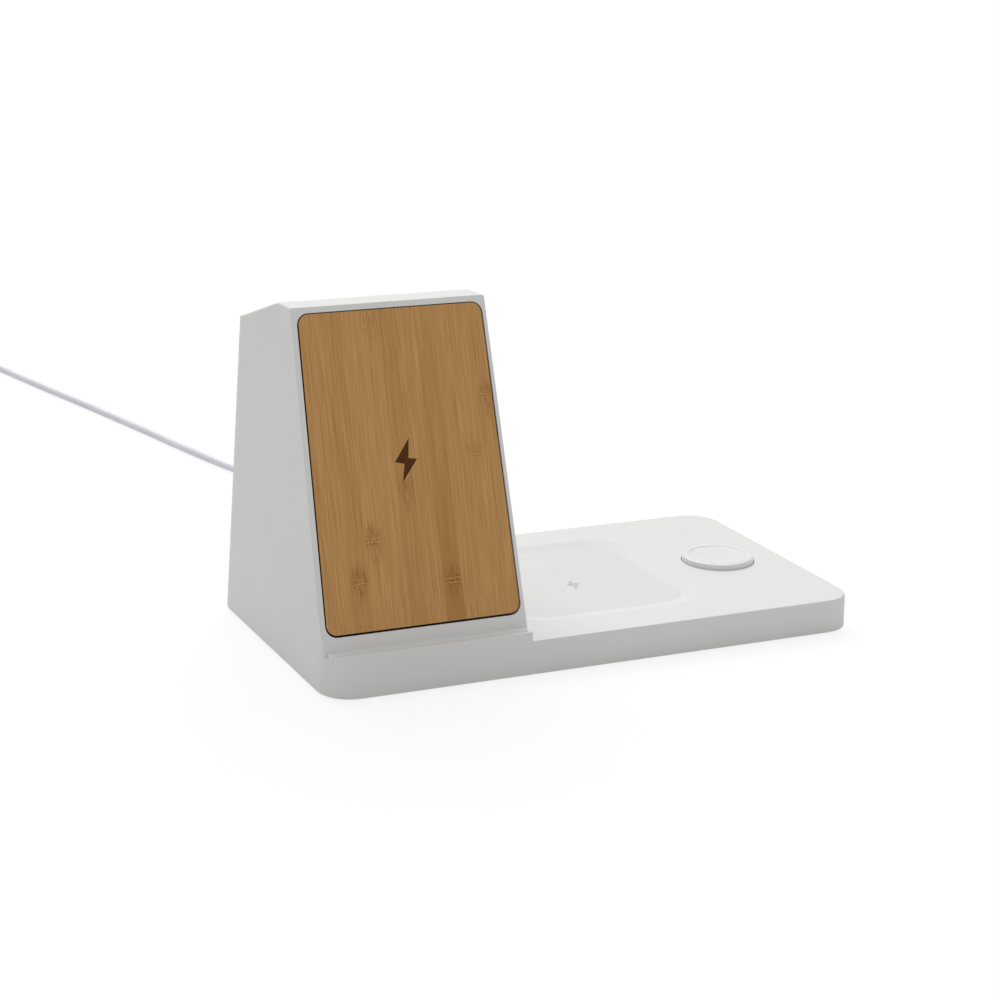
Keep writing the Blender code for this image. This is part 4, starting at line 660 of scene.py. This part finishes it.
def combine(piece, tool, operation="DIFFERENCE"):
    """Cuts a tool out of a piece or joins it on; the cut faces take the tool's material."""
    take(piece)
    made = piece.modifiers.new("combine", "BOOLEAN")
    made.object = tool
    made.operation = operation
    made.solver = "EXACT"
    made.material_mode = "TRANSFER"
    bpy.ops.object.modifier_apply(modifier=made.name)
    bpy.data.objects.remove(tool)


def engrave(piece, corners, depth, mark_material):
    """Sinks a flat mark into a piece. Its corners lie on the surface, listed as world points."""
    normal = (corners[1] - corners[0]).cross(corners[2] - corners[0]).normalized()
    if normal.z < 0:
        normal = -normal
    tool = plate("mark_tool", [c - normal * depth for c in corners], [c + normal * MM for c in corners])
    finish_with(tool, mark_material)
    combine(piece, tool)


def from_foot(co):
    """How far a point is up the face and out of it, from its foot."""
    away = co - FACE_FOOT
    return away.dot(FACE_RISE), away.dot(FACE_NORMAL)


def round_ledge_end(skin):
    """Rounds the upright corner at the ledge's free end."""
    end = LEFT + LEDGE_LENGTH
    middle = Vector((end - LEDGE_END_ROUND, FRONT + LEDGE_END_ROUND, TRAY_HEIGHT))
    angles = [math.pi / 2 * (k / LEDGE_END_STEPS - 1) for k in range(LEDGE_END_STEPS + 1)]
    corner = [middle + LEDGE_END_ROUND * Vector((math.cos(a), math.sin(a), 0)) for a in angles]
    corner += [Vector((end + MM, middle.y, TRAY_HEIGHT)), Vector((end + MM, FRONT - MM, TRAY_HEIGHT)),
               Vector((middle.x, FRONT - MM, TRAY_HEIGHT))]
    combine(skin, plate("ledge_end_tool", corner, [c + Vector((0, 0, LEDGE_END_CUT)) for c in corner]))
    edit(skin)
    bpy.ops.mesh.select_all(action="SELECT")
    bpy.ops.mesh.dissolve_limited(angle_limit=FLAT_ANGLE)
    rest()


def housing_skin(plastic, dish_floor_plastic, gap_shade, mark_grey):
    """The one-piece moulding with its edges rounded as its tool leaves them."""
    skin = copy_of("housing", "housing_skin")
    edit(skin)
    bpy.ops.mesh.select_mode(type="VERT")
    step = FACE_FOOT_HEIGHT + LEDGE_DEPTH * math.tan(FACE_LEAN) + MM
    choose(skin, "verts", lambda v: at_height(v.co, step))
    bpy.ops.mesh.remove_doubles(threshold=STEP_MERGE_DISTANCE)
    rest()
    round_ledge_end(skin)

    def dish_edge(edge):
        level = any(both(edge, lambda c, z=z: at_height(c, z)) for z in (DISH_FLOOR, TRAY_HEIGHT))
        return level and abs(turn_of(edge)) > SLIGHT_TURN and both(edge, lambda c: within(c, DISH_BOX))

    def roof_rear(edge):
        return convex(edge) and both(edge, lambda c: c.y > ROOF_REAR_FROM and c.z > ROOF_LOWEST)

    def tower_top(edge):
        run = edge.verts[0].co - edge.verts[1].co
        along = abs(run.y) > 0.5 * abs(run.z)
        band = TOWER_WIDTH / 2 - TOWER_SIDE_BAND
        return convex(edge) and along and both(
            edge, lambda c: c.z > TOWER_TOP_LOWEST and c.y < TOWER_TOP_REAR and abs(c.x - FACE_FOOT.x) > band)

    def tray_edge(edge):
        return convex(edge) and both(
            edge, lambda c: at_height(c, TRAY_HEIGHT) and (c - PUCK_MIDDLE).xy.length > PUCK_ROOM)

    def ledge_edge(edge):
        return convex(edge) and both(
            edge, lambda c: abs(from_foot(c)[0]) < ON_PLANE and from_foot(c)[1] > -ON_PLANE)

    def skirt_edge(edge):
        return convex(edge) and both(edge, lambda c: at_height(c, SKIRT_LIFT))

    def well_rim(edge):
        return convex(edge) and both(edge, lambda c: within(c, WELL_BOX) and c.z > WELL_RIM_LOWEST)

    def well_floor(edge):
        return turn_of(edge) < -SHARP_TURN and both(
            edge, lambda c: within(c, WELL_BOX) and at_height(c, WELL_FLOOR))

    def puck_hole(edge):
        return convex(edge) and both(
            edge, lambda c: at_height(c, TRAY_HEIGHT) and (c - PUCK_MIDDLE).xy.length < PUCK_ROOM)

    def socket_mouth(edge):
        low, high = SOCKET_MOUTH_HEIGHTS
        return convex(edge) and both(edge, lambda c: within(c, SOCKET_BOX) and low < c.z < high)

    for width, test, steps in (
        (DISH_RIM_ROUND, dish_edge, FINE_EDGE_STEPS),
        (ROOF_REAR_ROUND, roof_rear, EDGE_STEPS),
        (TOWER_TOP_ROUND, tower_top, EDGE_STEPS),
        (TRAY_EDGE_ROUND, tray_edge, EDGE_STEPS),
        (LEDGE_EDGE_ROUND, ledge_edge, EDGE_STEPS),
        (SKIRT_ROUND, skirt_edge, EDGE_STEPS),
        (WELL_RIM_ROUND, well_rim, EDGE_STEPS),
        (WELL_FLOOR_ROUND, well_floor, EDGE_STEPS),
        (HOLE_ROUND, puck_hole, HOLE_EDGE_STEPS),
        (HOLE_ROUND, socket_mouth, HOLE_EDGE_STEPS),
    ):
        round_edges(skin, width, test, steps)
    finish_with(skin, plastic, dish_floor_plastic, gap_shade)
    for face in skin.data.polygons:
        # The dish floor takes a slightly darker and more matt white than the rest of the moulding.
        on_floor = all(at_height(skin.data.vertices[i].co, DISH_FLOOR) for i in face.vertices)
        face.material_index = 1 if on_floor and within(face.center, DISH_BOX) else 0
        # The recess floor behind the panel is painted near black: painted shade that darkens the gap round
        # the panel.
        depth = from_foot(face.center)[1] + RECESS_DEPTH
        if face.normal.dot(FACE_NORMAL) > 0.999 and abs(depth) < ON_PLANE:
            face.material_index = 2
    corners = [Vector((x * MM, y * MM, DISH_FLOOR)) for x, y in TRAY_MARK_MM]
    engrave(skin, corners, TRAY_MARK_DEPTH, mark_grey)
    smooth(skin)
    stand_for(skin, "white_plastic", "housing")


def bamboo_panel(wood, burnt):
    """The pressed bamboo sheet with its crisp sanded rim, its laser-cut edge and its charging mark."""
    panel = copy_of("bamboo_panel", "bamboo_panel_skin")
    front = max(from_foot(v.co)[1] for v in panel.data.vertices)
    finish_with(panel, wood, burnt)
    for face in panel.data.polygons:
        face.material_index = 0 if abs(face.normal.dot(FACE_NORMAL)) > 0.9 else 1
    round_edges(panel, PANEL_RIM_ROUND, lambda e: convex(e) and both(
        e, lambda c: abs(from_foot(c)[1] - front) < ON_PLANE), FINE_EDGE_STEPS)
    corners = [FACE_FOOT + Vector((x * MM, 0, 0)) + FACE_RISE * y * MM + FACE_NORMAL * front
               for x, y in PANEL_MARK_MM]
    engrave(panel, corners, PANEL_MARK_DEPTH, burnt)
    settle(panel, Matrix.Translation(FACE_RISE * PANEL_RIDE_UP))
    smooth(panel)
    stand_for(panel, "bamboo", "bamboo_panel")


def charging_puck(plastic):
    """The charging disc: a rounded rim, a fine groove and a shallow cup that centres what lies on it."""
    puck = lathe("charging_puck_skin", PUCK_PROFILE_MM, PUCK_SIDES)
    finish_with(puck, plastic)
    settle(puck, Matrix.Translation(PUCK_MIDDLE))
    smooth(puck)
    stand_for(puck, "white_plastic", "charging_puck")


def rubber_feet(rubber):
    """Four moulded feet with a rounded rim round a shallow recess."""
    for number in range(1, 5):
        low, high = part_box(f"rubber_foot_{number}")
        foot = lathe(f"rubber_foot_skin_{number}", FOOT_PROFILE_MM, FOOT_SIDES)
        finish_with(foot, rubber)
        settle(foot, Matrix.Translation(((low.x + high.x) / 2, (low.y + high.y) / 2, 0)))
        smooth(foot)
        stand_for(foot, "grey_rubber", f"rubber_foot_{number}")


def cover_plate(plastic):
    """The bottom cover, with its outline, screw holes and foot seats eased on the outside."""
    cover = copy_of("bottom_cover", "bottom_cover_skin")
    finish_with(cover, plastic)
    round_edges(cover, COVER_ROUND, lambda e: convex(e) and both(
        e, lambda c: at_height(c, SKIRT_LIFT)), HOLE_EDGE_STEPS)
    smooth(cover)
    stand_for(cover, "cover_plastic", "bottom_cover")


def screw_blank(length, zinc):
    """A pan-head screw that points up, with its thread's crests and a cross recess."""
    length_mm = length / MM
    profile = list(SCREW_HEAD_MM)
    thread_from = SCREW_HEAD_MM[-1][1]
    for k in range(int((length_mm - SCREW_TIP_MM - thread_from) / THREAD_PITCH_MM)):
        foot = thread_from + k * THREAD_PITCH_MM
        profile += [(radius, foot + rise) for radius, rise in zip(THREAD_RADII_MM, THREAD_HEIGHTS_MM)]
    profile += [(THREAD_RADII_MM[0], length_mm - SCREW_TIP_MM), (SCREW_POINT_RADIUS_MM, length_mm)]
    screw = lathe("screw_blank", [*profile, (0, length_mm)], SCREW_SIDES)
    finish_with(screw, zinc)
    across, wide, deep = CROSS_RECESS
    for size in ((across, wide, 2 * deep), (wide, across, 2 * deep)):
        tool = block("recess_tool", size, Vector())
        finish_with(tool, zinc)
        combine(screw, tool)
    smooth(screw, 35)
    return screw


def screws(zinc):
    """Every screw, copied from its blank to the place of its solid."""
    blanks = {length: screw_blank(length, zinc) for length in (COVER_SCREW_LENGTH, SHORT_SCREW_LENGTH)}
    upright = Matrix.Identity(4)
    leaning = Matrix.Rotation(FACE_TURN, 4, "X")
    for node in sorted(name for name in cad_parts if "_screw_" in name):
        turn = leaning if node.startswith("bracket") else upright
        blank = blanks[COVER_SCREW_LENGTH if node.startswith("cover") else SHORT_SCREW_LENGTH]
        axes = [turn.to_3x3().col[i] for i in range(3)]
        places = [vert.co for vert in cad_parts[node].data.vertices]
        spans = [(min(p.dot(axis) for p in places), max(p.dot(axis) for p in places)) for axis in axes]
        foot = axes[0] * sum(spans[0]) / 2 + axes[1] * sum(spans[1]) / 2 + axes[2] * spans[2][0]
        screw = linked(node + "_skin", blank.data.copy())
        settle(screw, Matrix.Translation(foot) @ turn)
        stand_for(screw, "zinc_steel", node)
    for blank in blanks.values():
        bpy.data.objects.remove(blank)


def plug_body(name, sizes, relief_from, relief_to, matrix, soft_pvc):
    """A plug's overmould, rounded all round, with grip grooves in its flat sides and a ribbed relief."""
    width, height, length, edge, end_edge, foot = sizes
    body = block(name, (width, height, length), Vector((0, 0, foot + length / 2)))
    round_edges(
        body, edge, lambda e: abs((e.verts[0].co - e.verts[1].co).z) > length / 2, PLUG_EDGE_STEPS)
    ends = (foot, foot + length)
    round_edges(body, end_edge, lambda e: convex(e) and any(
        both(e, lambda c, z=z: at_height(c, z)) for z in ends), FINE_EDGE_STEPS)
    across, deep, wide = GRIP_GROOVE
    for side in (-1, 1):
        for k in range(-2, 3):
            along = foot + length / 2 + k * GRIP_GROOVE_SPACING
            tool = block("groove_tool", (across, 2 * deep, wide), Vector((0, side * height / 2, along)))
            combine(body, tool)
    count = int(abs(relief_to - relief_from) / RELIEF_RIB_SPACING)
    profile = [(0, relief_from / MM)]
    for k in range(count):
        for share, sunk in RELIEF_RIB_SHARES:
            along = (k + share) / count
            radius = RELIEF_ROOT_RADIUS + (RELIEF_TIP_RADIUS - RELIEF_ROOT_RADIUS) * along
            place = relief_from + (relief_to - relief_from) * along
            profile.append(((radius - sunk * RELIEF_RIB_DEPTH) / MM, place / MM))
    profile += [(RELIEF_TIP_RADIUS / MM, relief_to / MM), (0, relief_to / MM)]
    combine(body, lathe("relief_tool", profile, RELIEF_SIDES), "UNION")
    finish_with(body, soft_pvc)
    settle(body, matrix)
    smooth(body, 45)
    return body


def plugs(soft_pvc, steel):
    """Both plugs' overmoulds, and the far plug's shell with its spring holes."""
    near_matrix = Matrix.Translation(SOCKET_MOUTH) @ Matrix.Rotation(math.radians(-90), 4, "X")
    near_end = NEAR_BODY[5] + NEAR_BODY[2]
    relief_end = RELIEF_END.y - SOCKET_MOUTH.y - FIT_GAP
    near = plug_body(
        "usb_c_plug_skin", NEAR_BODY, near_end - RELIEF_OVERLAP, relief_end, near_matrix, soft_pvc)
    stand_for(near, "plug_white", "usb_c_plug_body")
    _, start, heading = cord_route()
    turn = Matrix.Rotation(math.atan2(heading.y, heading.x) + math.pi / 2, 4, "Z")
    far_matrix = Matrix.Translation(start) @ turn @ Matrix.Rotation(math.radians(90), 4, "X")
    far = plug_body(
        "usb_a_plug_skin", FAR_BODY, FAR_BODY[5] + RELIEF_OVERLAP, 0.0, far_matrix, soft_pvc)
    stand_for(far, "plug_white", "usb_a_plug_body")
    shell = copy_of("usb_a_plug_shell", "usb_a_shell_skin")
    finish_with(shell, steel)
    middle, side, low, high = FAR_SHELL_HOLES
    for x in (-middle, middle):
        size = (side, SHELL_HOLE_REACH, high - low)
        tool = block("spring_hole_tool", size, Vector((x, 0, (low + high) / 2)))
        settle(tool, far_matrix)
        finish_with(tool, steel)
        combine(shell, tool)
    smooth(shell)
    stand_for(shell, "stainless", "usb_a_plug_shell")
    return near, far, shell


def smooth_route(points, step):
    """Even steps along a smooth curve through the points."""
    doubled = [points[0] * 2 - points[1], *points, points[-1] * 2 - points[-2]]
    fine = [points[0]]
    for a, b, c, d in zip(doubled, doubled[1:], doubled[2:], doubled[3:]):
        for k in range(1, ROUTE_SUBSTEPS + 1):
            t = k / ROUTE_SUBSTEPS
            fine.append(0.5 * (2 * b + (c - a) * t + (2 * a - 5 * b + 4 * c - d) * t ** 2
                               + (3 * b - a - 3 * c + d) * t ** 3))
    lengths = [0.0]
    for a, b in zip(fine, fine[1:]):
        lengths.append(lengths[-1] + (b - a).length)
    count = max(2, round(lengths[-1] / step))
    route, place = [], 0
    for k in range(count + 1):
        wanted = lengths[-1] * k / count
        while place < len(fine) - 2 and lengths[place + 1] < wanted:
            place += 1
        share = (wanted - lengths[place]) / (lengths[place + 1] - lengths[place])
        route.append(fine[place].lerp(fine[place + 1], share))
    return route


def coil_points(start, heading):
    """A flat coil that spirals in on the table and out again on top of itself, turning left."""
    side = Vector((-heading.y, heading.x, 0.0))
    centre = start + heading * LEAD_OUT + side * COIL_RADIUS
    first = math.atan2(-side.y, -side.x)

    def place(turn):
        drawn_in = COIL_PITCH * min(turn, COIL_LOOPS - turn)
        climb = min(1.0, max(0.0, (turn - COIL_LOOPS / 2) / CLIMB_TURN_SHARE + CLIMB_TURN_SHARE))
        angle = first + math.tau * turn
        aside = Vector((math.cos(angle), math.sin(angle), 0)) * (COIL_RADIUS - drawn_in)
        return centre + aside + Vector((0, 0, COIL_PITCH * climb))

    steps = round(COIL_LOOPS * COIL_STEPS)
    points = [start, *[place(COIL_LOOPS * i / steps) for i in range(steps + 1)]]
    leaving = points[-1] - place(COIL_LOOPS - 1 / SOLID_COIL_STEPS)
    leaving.z = 0
    leaving.normalize()
    points.append(points[-1] + leaving * LEAD_OUT)
    return points, leaving


def cord_route():
    """The cord's whole route, and where its far plug starts and points."""
    straight = RELIEF_END + Vector((0, CORD_RADIUS * 2, 0))
    seen = [RELIEF_END, *smooth_route([straight, *[Vector(p) for p in CORD_ROUTE]], CORD_STEP)]
    heading = seen[-1] - seen[-2]
    heading.z = 0
    heading.normalize()
    seen.append(seen[-1] + heading * CORD_RADIUS * 2)
    coil, leaving = coil_points(seen[-1] + heading * FIT_GAP, heading)
    start = coil[-1] + leaving * FIT_GAP
    across = Vector((-leaving.y, leaving.x, 0))
    end = start + (leaving * TAIL_END_SHARES[0] + across * TAIL_END_SHARES[1]) * COIL_RADIUS
    end.z = FAR_HEIGHT
    middle = start + (leaving * TAIL_MIDDLE_SHARES[0] + across * TAIL_MIDDLE_SHARES[1]) * COIL_RADIUS
    middle.z = (start.z + FAR_HEIGHT) / 2
    bend = leaving * CORD_RADIUS * 2
    tail = [*smooth_route([start + bend, middle, end - bend], TAIL_STEP), end]
    return [*seen, *coil[1:], *tail], end + leaving * FIT_GAP, leaving


def make_cord(pvc):
    """The cord as one curve."""
    route, _, _ = cord_route()
    data = bpy.data.curves.new("charging_cord", "CURVE")
    data.dimensions = "3D"
    data.bevel_depth = CORD_RADIUS
    data.bevel_resolution = CORD_SIDE_STEPS
    data.use_fill_caps = True
    spline = data.splines.new("POLY")
    spline.points.add(len(route) - 1)
    for point, place in zip(spline.points, route):
        point.co = (*place, 1.0)
    spline.use_smooth = True
    data.materials.append(pvc)
    cord = linked("charging_cord", data)
    length = sum((b - a).length for a, b in zip(route, route[1:]))
    stand_for(cord, "cord_white", "cord_run", "cord_coil", "cord_tail")
    return cord, length


def photo_camera():
    """The photograph's viewpoint."""
    data = bpy.data.cameras.new("photo_camera")
    data.lens = CAMERA_LENS_MM
    data.sensor_width = 36
    data.clip_end = 100
    camera = linked("photo_camera", data)
    camera.matrix_world = (
        Matrix.Translation(CAMERA_PLACE)
        @ Matrix.Rotation(math.radians(CAMERA_HEADING), 4, "Z")
        @ Matrix.Rotation(math.radians(90 + CAMERA_PITCH), 4, "X")
        @ Matrix.Rotation(math.radians(CAMERA_ROLL), 4, "Z")
    )
    bpy.context.scene.camera = camera


def shown_directly(tree):
    """Whether a ray comes from the camera, a gloss or a clear piece, which see the pale background."""
    path = add(tree, "LightPath", out=None).outputs
    shown = add(tree, "Math", (path["Is Camera Ray"], path["Is Glossy Ray"]), operation="MAXIMUM")
    return add(tree, "Math", (shown, path["Is Transmission Ray"]), operation="MAXIMUM")


def studio():
    """A pale floor that the camera sees near white, a soft sky and one large soft key from behind."""
    bpy.context.scene.view_settings.view_transform = "Standard"
    world = bpy.data.worlds.new("studio")
    world.use_nodes = True
    bpy.context.scene.world = world
    tree = world.node_tree
    tree.nodes.clear()
    white = (1, 1, 1, 1)
    sky = add(tree, "Background", {"Color": white, "Strength": SKY_STRENGTH})
    backdrop = add(tree, "Background", {"Color": white, "Strength": 1.0})
    mixed = add(tree, "MixShader", (shown_directly(tree), sky, backdrop))
    add(tree, "OutputWorld", {"Surface": mixed}, None)

    made = bpy.data.materials.new("studio_floor")
    made.use_nodes = True
    tree = made.node_tree
    tree.nodes.clear()
    paper = add(tree, "BsdfDiffuse", {"Color": (*[PAPER_SHADE] * 3, 1)})
    shadowed = add(tree, "BsdfDiffuse", {"Color": (*[SHADOWED_SHADE] * 3, 1)})
    glow = add(tree, "Emission", {"Color": white, "Strength": PAPER_GLOW})
    seen = add(tree, "AddShader", (shadowed, glow))
    mixed = add(tree, "MixShader", (shown_directly(tree), paper, seen))
    add(tree, "OutputMaterial", {"Surface": mixed}, None)
    rest()
    bpy.ops.mesh.primitive_plane_add(size=FLOOR_SIZE, location=FLOOR_MIDDLE)
    floor = bpy.context.object
    floor.name = "floor"
    finish_with(floor, made)

    data = bpy.data.lights.new("soft_key", "SUN")
    data.angle = math.radians(KEY_ANGLE_DEGREES)
    data.energy = KEY_ENERGY
    key = linked("soft_key", data)
    turn = KEY_TOWARDS.to_track_quat("Z", "Y").to_matrix().to_4x4()
    key.matrix_world = Matrix.Translation(KEY_TOWARDS * KEY_DISTANCE) @ turn


photo_camera()
studio()
PVC = moulded_plastic("pvc_extruded_cord", "DEDEE6", "E6E6EE", 0.40, 0.25 * MM, 0.01 * MM)
cord, cord_length = make_cord(PVC)

SOFT_PVC = moulded_plastic("pvc_overmould_white", "DCDCE2", "E4E4EA", 0.48, 0.4 * MM, 0.03 * MM)
STEEL = drawn_metal("stainless_drawn_shell", "A9AAAC", "C2C3C5", 0.3)
near_plug, far_plug, far_shell = plugs(SOFT_PVC, STEEL)

ABS_WHITE = moulded_plastic("abs_moulded_white", "E2E2E0", "E4E4E2", 0.58, specks=True)
MARK_GREY = moulded_plastic("pad_printed_grey", "B9B9B7", "BEBEBC", 0.5)
# A slightly darker, more matt white for the dish floor.
ABS_DISH_FLOOR = moulded_plastic("abs_dish_floor_darker_matt", "DEDEDC", "E0E0DE", 0.62)
# Near black painted shade for the recess floor, seen through the gap round the panel.
PAINTED_GAP_SHADE = moulded_plastic("painted_gap_shade_black", "0E0D0C", "181614", 0.7, 0.6 * MM, 0.06 * MM)
housing_skin(ABS_WHITE, ABS_DISH_FLOOR, PAINTED_GAP_SHADE, MARK_GREY)
charging_puck(moulded_plastic("abs_polished_white", "E4E4E2", "E8E8E6", 0.22, 1.5 * MM, 0.004 * MM))
bamboo_panel(bamboo("bamboo_pressed_strips"), bamboo("bamboo_laser_burnt", burnt=True))
cover_plate(moulded_plastic("abs_cover_textured", "D9D8D4", "DCDBD7", 0.6, 0.7 * MM, 0.08 * MM))
rubber_feet(moulded_plastic("silicone_moulded_grey", "666664", "737371", 0.85, 0.5 * MM, 0.06 * MM))
screws(drawn_metal("steel_zinc_plated", "A7A9AC", "C4C6C9", 0.35, 0.4 * MM))

# Finishes of the solids whose shape is right as it is
NODE_FINISHES = {
    "adhesive": foam_tape("acrylic_foam_tape"),
    "ferrite": sintered("ferrite_sintered", "252322", "393633", 7 * MM),
    "inductor": sintered("iron_powder_pressed", "484A4D", "65686C", 3 * MM),
    "inner_plastic": moulded_plastic("abs_moulded_black", "34353A", "3F4044", 0.55, 0.6 * MM, 0.06 * MM),
    "magnet": drawn_metal("neodymium_nickel_plated", "A2A3A5", "BCBDC0", 0.25, 0.6 * MM),
    "chip": moulded_plastic("epoxy_moulded_package", "161617", "222224", 0.42, 0.3 * MM, 0.03 * MM),
    "header": moulded_plastic("nylon_moulded_header", "D8D4C9", "E0DDD3", 0.5, 0.4 * MM, 0.04 * MM),
    "lead_sleeve": moulded_plastic("silicone_lead_sleeve", "74281D", "842F22", 0.5, 0.3 * MM, 0.03 * MM),
    "stainless": STEEL,
    "tongue_black": moulded_plastic("lcp_moulded_tongue", "1B1C1D", "27282A", 0.5, 0.3 * MM, 0.03 * MM),
}
NODE_FINISHES_BY_NAME = {
    "main_board": masked_board("board_green_mask", CAPACITOR_FOOT),
    "puck_board": masked_board("puck_board_green_mask", 1.0),
    "tray_coil": wound_copper("tray_coil_litz", "tray_coil"),
    "puck_coil": wound_copper("puck_coil_litz", "puck_coil"),
    "phone_coil_lower": wound_copper("lower_coil_litz", "phone_coil_lower", FACE_TURN),
    "phone_coil_upper": wound_copper("upper_coil_litz", "phone_coil_upper", FACE_TURN),
}
for name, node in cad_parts.items():
    slot = node.data.materials[0].name if node.data.materials else ""
    finish = NODE_FINISHES_BY_NAME.get(name, NODE_FINISHES.get(slot))
    if finish and node.material_slots:
        node.material_slots[0].material = finish
